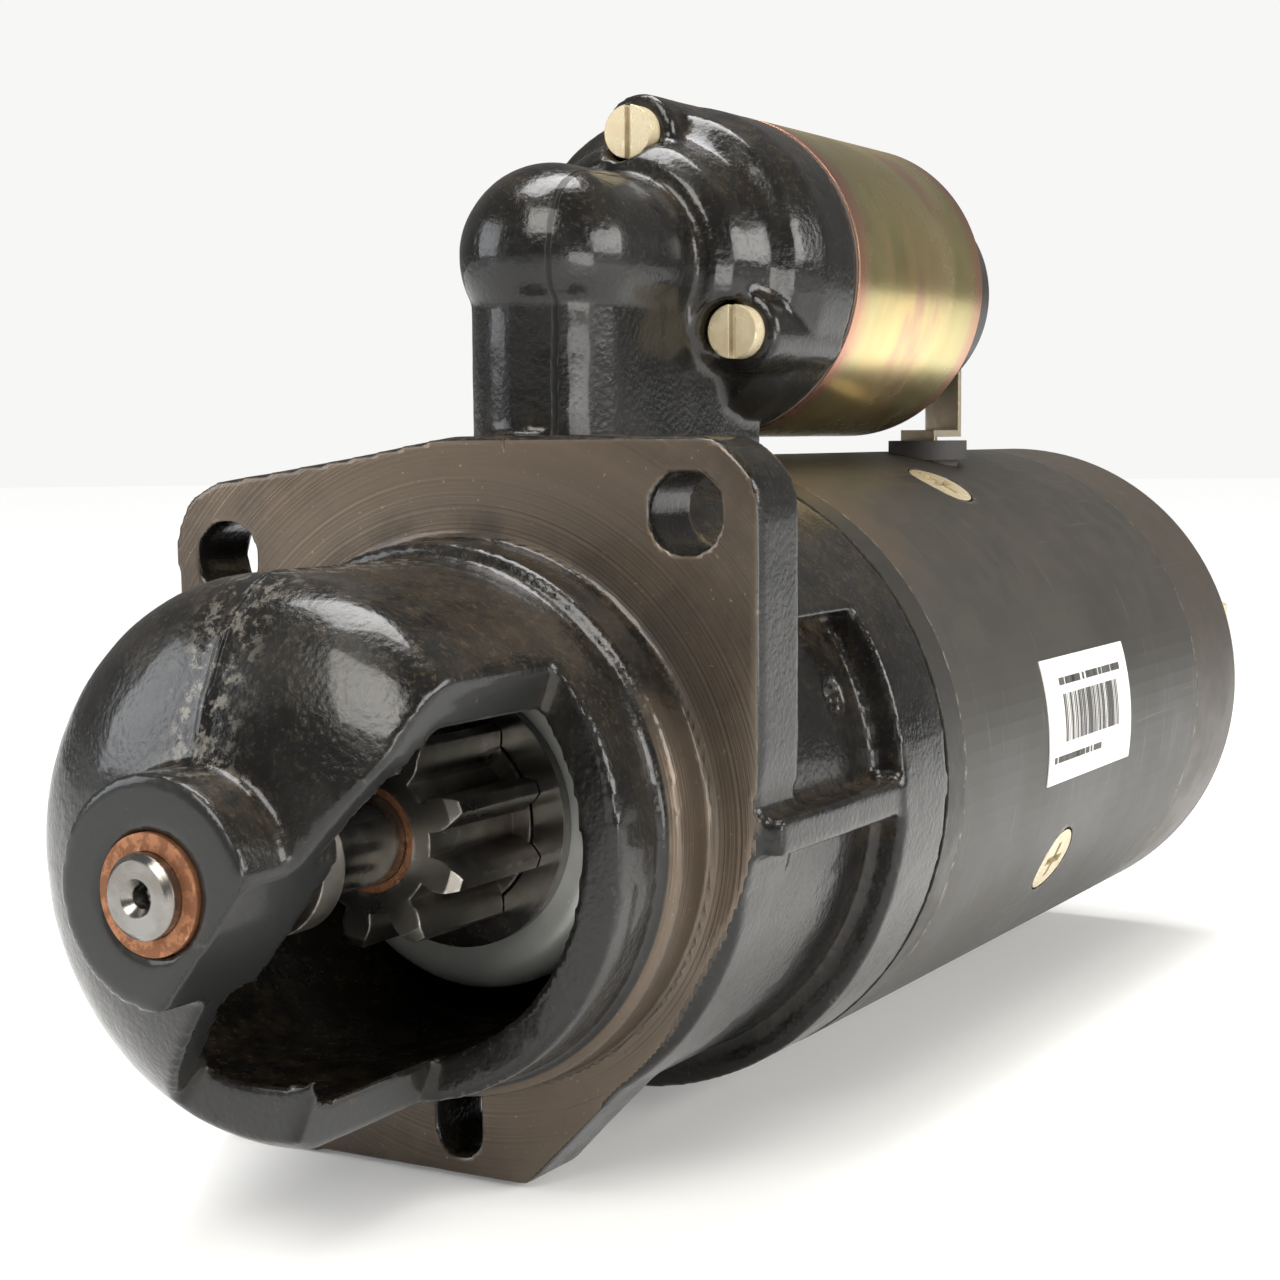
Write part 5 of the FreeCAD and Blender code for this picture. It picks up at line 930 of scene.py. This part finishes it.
def thread_tree():
    """A helical crest about X: a spiral line swept with a small three-sided profile."""
    n, given, out = new_group("thread crest", "GeometryNodeTree", [
        ("Radius", NUMBER, 0.004), ("Length", NUMBER, 0.01), ("Pitch", NUMBER, 0.00125),
        ("Crest", NUMBER, 0.0003), ("Material", "NodeSocketMaterial"),
    ], [("Geometry", "NodeSocketGeometry")])
    turns = n.math("DIVIDE", given["Length"], given["Pitch"])
    line = n.add("GeometryNodeCurveSpiral", {"Resolution": 24, "Rotations": turns, "Start Radius":
        given["Radius"], "End Radius": given["Radius"], "Height": given["Length"], })
    profile = n.add("GeometryNodeCurvePrimitiveCircle", {"Resolution": 4, "Radius":
        given["Crest"]})
    sweep = n.add("GeometryNodeCurveToMesh", {
        "Curve": line.outputs[0], "Profile Curve": profile.outputs[0], "Fill Caps": True})
    turned = n.add("GeometryNodeTransform", {"Geometry": sweep.outputs[0], "Rotation": (0.0,
        math.pi / 2, 0.0)})
    whole = n.add("GeometryNodeRealizeInstances", {0: turned.outputs[0]})
    coloured = n.add("GeometryNodeSetMaterial", {"Geometry": whole.outputs[0], "Material":
        given["Material"]})
    n.feed(out["Geometry"], coloured.outputs[0])
    return n.tree


class STARTER_OT_threads(bpy.types.Operator):
    """Cut the screw threads of the terminal studs"""

    bl_idname = "starter.threads"
    bl_label = "Threads"

    def execute(self, context):
        settings = context.scene.starter_thread
        tree = thread_tree()
        mounts = {mount["name"]: mount for mount in frame["record"]["mounts"]}
        jobs = []
        for node, mount in (("battery_terminal", "battery_stud"),
                            ("trigger_terminal", "trigger_stud")):
            sizes = mounts[mount]["dims"]
            jobs.append((node, sizes["r_mm"] * MM, sizes["length_mm"] * MM,
                mounts[mount]["pos_m"]))
        battery = jobs[0]
        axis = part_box("solenoid_case")
        middle = (axis[0] + axis[1]) / 2
        mirrored = (battery[3][0] + MOTOR_NUT_OVERLAP / 2, 2 * middle.y - battery[3][1], 2 *
            middle.z - battery[3][2])
        jobs.append(("motor_terminal", battery[1], battery[2] - MOTOR_NUT_OVERLAP, mirrored))
        for node, radius, length, place in jobs:
            pitch = radius * settings.pitch_share
            run = length - 2.4 * pitch
            piece = grown(node + "_thread", tree, {"Radius": radius - 0.1 * pitch, "Length": run,
                "Pitch": pitch, "Crest": pitch * settings.depth_share, "Material":
                finish_of(SLOTS[node]), }, [finish_of(SLOTS[node])])
            start = Vector(place) - Vector((run / 2, 0, 0))
            piece.data.transform(Matrix.Translation(start))
            settle(piece, HOUSING)
        return {"FINISHED"}


def print_tree():
    """A row of upright bars of uneven width wrapped on a tube; short rows of it make the dashes on
    each side.
    """
    n, given, out = new_group("label print", "GeometryNodeTree", [
        ("Bars", "NodeSocketInt", 30), ("Run", NUMBER, 0.03), ("Height", NUMBER, 0.009),
        ("Offset", NUMBER, 0.0), ("Widest", NUMBER, 0.0009), ("Start", NUMBER, 0.12),
        ("Angle", NUMBER, 3.06), ("Radius", NUMBER, 0.0572), ("Seed", "NodeSocketInt", 7),
        ("Material", "NodeSocketMaterial"),
    ], [("Geometry", "NodeSocketGeometry")])
    spacing = n.math("DIVIDE", given["Run"], given["Bars"])
    offset = n.add("ShaderNodeCombineXYZ", {"X": spacing})
    start = n.add("ShaderNodeCombineXYZ", {"X": given["Start"], "Y": given["Offset"]})
    line = n.add("GeometryNodeMeshLine", {"Count": given["Bars"], "Start Location":
        start.outputs[0], "Offset": offset.outputs[0]})
    bar = n.add("GeometryNodeMeshGrid", {"Size X": 1.0, "Size Y": 1.0, "Vertices X": 2,
        "Vertices Y": 9})
    width = n.add("FunctionNodeRandomValue", {"Seed": given["Seed"]}, data_type="FLOAT")
    n.feed(width.inputs[2], 0.22)
    n.feed(width.inputs[3], 1.0)
    size = n.add("ShaderNodeCombineXYZ", {"X": n.math("MULTIPLY", width.outputs[1],
        given["Widest"]), "Y": given["Height"], "Z": 1.0})
    bars = n.add("GeometryNodeInstanceOnPoints", {"Points": line.outputs[0], "Instance":
        bar.outputs[0], "Scale": size.outputs[0]})
    whole = n.add("GeometryNodeRealizeInstances", {0: bars.outputs[0]})
    x, y, z = n.parts(n.add("GeometryNodeInputPosition").outputs[0])
    angle = n.math("SUBTRACT", given["Angle"], n.math("DIVIDE", y, given["Radius"]))
    wrapped = n.add("ShaderNodeCombineXYZ", {"X": x, "Y": n.math("MULTIPLY", n.math("COSINE",
        angle), given["Radius"]), "Z": n.math("MULTIPLY", n.math("SINE", angle), given["Radius"])})
    moved = n.add("GeometryNodeSetPosition", {"Geometry": whole.outputs[0], "Position":
        wrapped.outputs[0]})
    coloured = n.add("GeometryNodeSetMaterial", {"Geometry": moved.outputs[0], "Material":
        given["Material"]})
    n.feed(out["Geometry"], coloured.outputs[0])
    return n.tree


class STARTER_OT_label(bpy.types.Operator):
    """Print plain bars and dashes on the paper label"""

    bl_idname = "starter.label"
    bl_label = "Label"

    def execute(self, context):
        settings = context.scene.starter_label
        dress("label")
        low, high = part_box("label")
        tree = print_tree()
        corners = np.array([v.co for v in frame["nodes"]["label"].data.vertices])
        outside = float(np.hypot(corners[:, 1], corners[:, 2]).max()) + 0.03 * MM
        angles = np.arctan2(corners[:, 2], corners[:, 1]) % (2 * math.pi)
        middle = float(angles.min() + angles.max()) / 2
        length = high.x - low.x
        rows = (("bars", settings.bars, 0.66, settings.bar_height, 0.3 * MM, 0.75, 0.19),
            ("heading", 12, 0.56, 1.3 * MM, -7.6 * MM, 1.7, 0.07), ("footing", 14, 0.72, 1.5 * MM,
            7.6 * MM, 1.9, 0.19), )
        for index, (word, count, run, height, offset, widest, start) in enumerate(rows):
            piece = grown("label_" + word, tree, {"Bars": count, "Run": length * run, "Height":
                height, "Offset": offset, "Widest": length * run / count * widest if index else
                length * run / count * 1.1, "Start": low.x + length * start, "Angle": middle,
                "Radius": outside, "Seed": settings.seed + index, "Material": finish_of("ink"), },
                [finish_of("ink")])
            settle(piece, HOUSING)
        return {"FINISHED"}


class STARTER_OT_stage(bpy.types.Operator):
    """Lay the floor and set the lights and the camera"""

    bl_idname = "starter.stage"
    bl_label = "Stage"

    def execute(self, context):
        settings = context.scene.starter_stage
        self.floor(settings)
        self.lights(settings)
        self.camera(settings)
        return {"FINISHED"}

    def floor(self, settings):
        shape = bmesh.new()
        bmesh.ops.create_circle(shape, cap_ends=True, segments=96, radius=6.0,
            matrix=Matrix.Translation((0, 0, CAD_BOX[0].z - 0.2 * MM)))
        mesh = bpy.data.meshes.new("floor")
        shape.to_mesh(mesh)
        shape.free()
        floor = new_object("floor", mesh)
        material = bpy.data.materials.new("floor")
        material.use_nodes = True
        material.node_tree.nodes.clear()
        n = Tree(material.node_tree)
        shade = n.mix(n.noise(n.place(), 3.0, 3.0), tuple(settings.floor), tuple(0.985 * c for c in
            settings.floor))
        # the floor glows, faintly by the part and brighter towards its rim: painted light that
        # fades it into the backdrop
        away = n.vector("LENGTH", n.place())
        shader = n.add("ShaderNodeBsdfPrincipled", {"Base Color": shade, "Roughness": 0.75,
            "Emission Color": (1.0, 1.0, 0.99, 1.0), "Emission Strength": n.step(away, 0.5, 2.2,
            0.12, 0.80), })
        n.add("ShaderNodeOutputMaterial", {"Surface": shader.outputs[0]})
        mesh.materials.append(material)

    def lights(self, settings):
        world = bpy.data.worlds.new("studio")
        world.use_nodes = True
        n = Tree(world.node_tree)
        sky = world.node_tree.nodes["Background"]
        sky.inputs["Color"].default_value = (1.0, 1.0, 0.99, 1.0)
        seen = n.add("ShaderNodeLightPath").outputs["Is Camera Ray"]
        n.feed(sky.inputs["Strength"], n.blend(seen, settings.room, settings.backdrop))
        bpy.context.scene.world = world
        aim = (CAD_BOX[0] + CAD_BOX[1]) / 2
        for name, place, size, share, colour in (
            ("key", (-0.9, -0.25, 0.95), (0.7, 0.7), 1.0, (1.0, 0.97, 0.92)),
            ("side", (0.35, -1.25, 0.45), (1.1, 0.5), 1.0, (1.0, 0.98, 0.95)),
            ("low", (-0.35, -0.85, 0.02), (0.5, 0.2), 0.18, (1.0, 0.98, 0.95)),
            ("top", (0.15, 0.1, 1.2), (0.9, 0.5), 1.1, (1.0, 1.0, 1.0)),
            ("left", (-0.6, 0.9, 0.4), (0.6, 0.6), 0.35, (0.95, 0.97, 1.0)),
        ):
            lamp = bpy.data.lights.new(name, "AREA")
            lamp.shape = "RECTANGLE"
            lamp.size, lamp.size_y = size
            lamp.energy = settings.key_power * share
            lamp.color = colour
            light = bpy.data.objects.new(name, lamp)
            bpy.context.scene.collection.objects.link(light)
            light.location = place
            light.rotation_mode = "QUATERNION"
            light.rotation_quaternion = (aim - Vector(place)).to_track_quat("-Z", "Y")

    def camera(self, settings):
        lens = bpy.data.cameras.new("camera")
        lens.lens = settings.lens
        lens.sensor_width = 36.0
        lens.clip_start, lens.clip_end = 0.01, 50.0
        camera = bpy.data.objects.new("camera", lens)
        bpy.context.scene.collection.objects.link(camera)
        azimuth, height, roll = (math.radians(angle) for angle in (-60.215, 5.03, -0.435))
        back = Vector((math.sin(azimuth) * math.cos(height), -math.cos(azimuth) * math.cos(height),
            math.sin(height)))
        camera.location = (-0.3085, -0.2090, 0.0607)
        camera.rotation_mode = "QUATERNION"
        camera.rotation_quaternion = (back.to_track_quat("Z", "Y") @ Quaternion((0, 0, 1), roll))
        bpy.context.scene.camera = camera
        bpy.context.scene.view_settings.view_transform = "Standard"


# ---------------------------------------------------------------- add-on

OPERATORS = (
    STARTER_OT_casting, STARTER_OT_nose_bearing, STARTER_OT_drive, STARTER_OT_frame,
    STARTER_OT_brush_end, STARTER_OT_solenoid, STARTER_OT_terminals, STARTER_OT_lever,
    STARTER_OT_armature, STARTER_OT_threads, STARTER_OT_label, STARTER_OT_stage,
)
SETTINGS = {"starter_casting": StarterCastingSettings, "starter_finish": StarterFinishSettings,
    "starter_thread": StarterThreadSettings, "starter_label": StarterLabelSettings,
    "starter_stage": StarterStageSettings, }


class STARTER_PT_build(bpy.types.Panel):
    """Lists the steps that build the starter motor"""

    bl_idname = "STARTER_PT_build"
    bl_label = "Starter motor"
    bl_space_type = "VIEW_3D"
    bl_region_type = "UI"
    bl_category = "Starter"

    def draw(self, context):
        for operator in OPERATORS:
            self.layout.operator(operator.bl_idname)
        for name, group in SETTINGS.items():
            box = self.layout.box()
            box.label(text=group.__doc__)
            for prop in group.__annotations__:
                box.prop(getattr(context.scene, name), prop)


def register():
    for group in SETTINGS.values():
        bpy.utils.register_class(group)
    for name, group in SETTINGS.items():
        setattr(bpy.types.Scene, name, bpy.props.PointerProperty(type=group))
    for operator in OPERATORS:
        bpy.utils.register_class(operator)
    bpy.utils.register_class(STARTER_PT_build)


def unregister():
    bpy.utils.unregister_class(STARTER_PT_build)
    for operator in reversed(OPERATORS):
        bpy.utils.unregister_class(operator)
    for name, group in SETTINGS.items():
        delattr(bpy.types.Scene, name)
        bpy.utils.unregister_class(group)


def main():
    register()
    for operator in OPERATORS:
        group, name = operator.bl_idname.split(".")
        getattr(getattr(bpy.ops, group), name)()


if __name__ == "__main__":
    main()
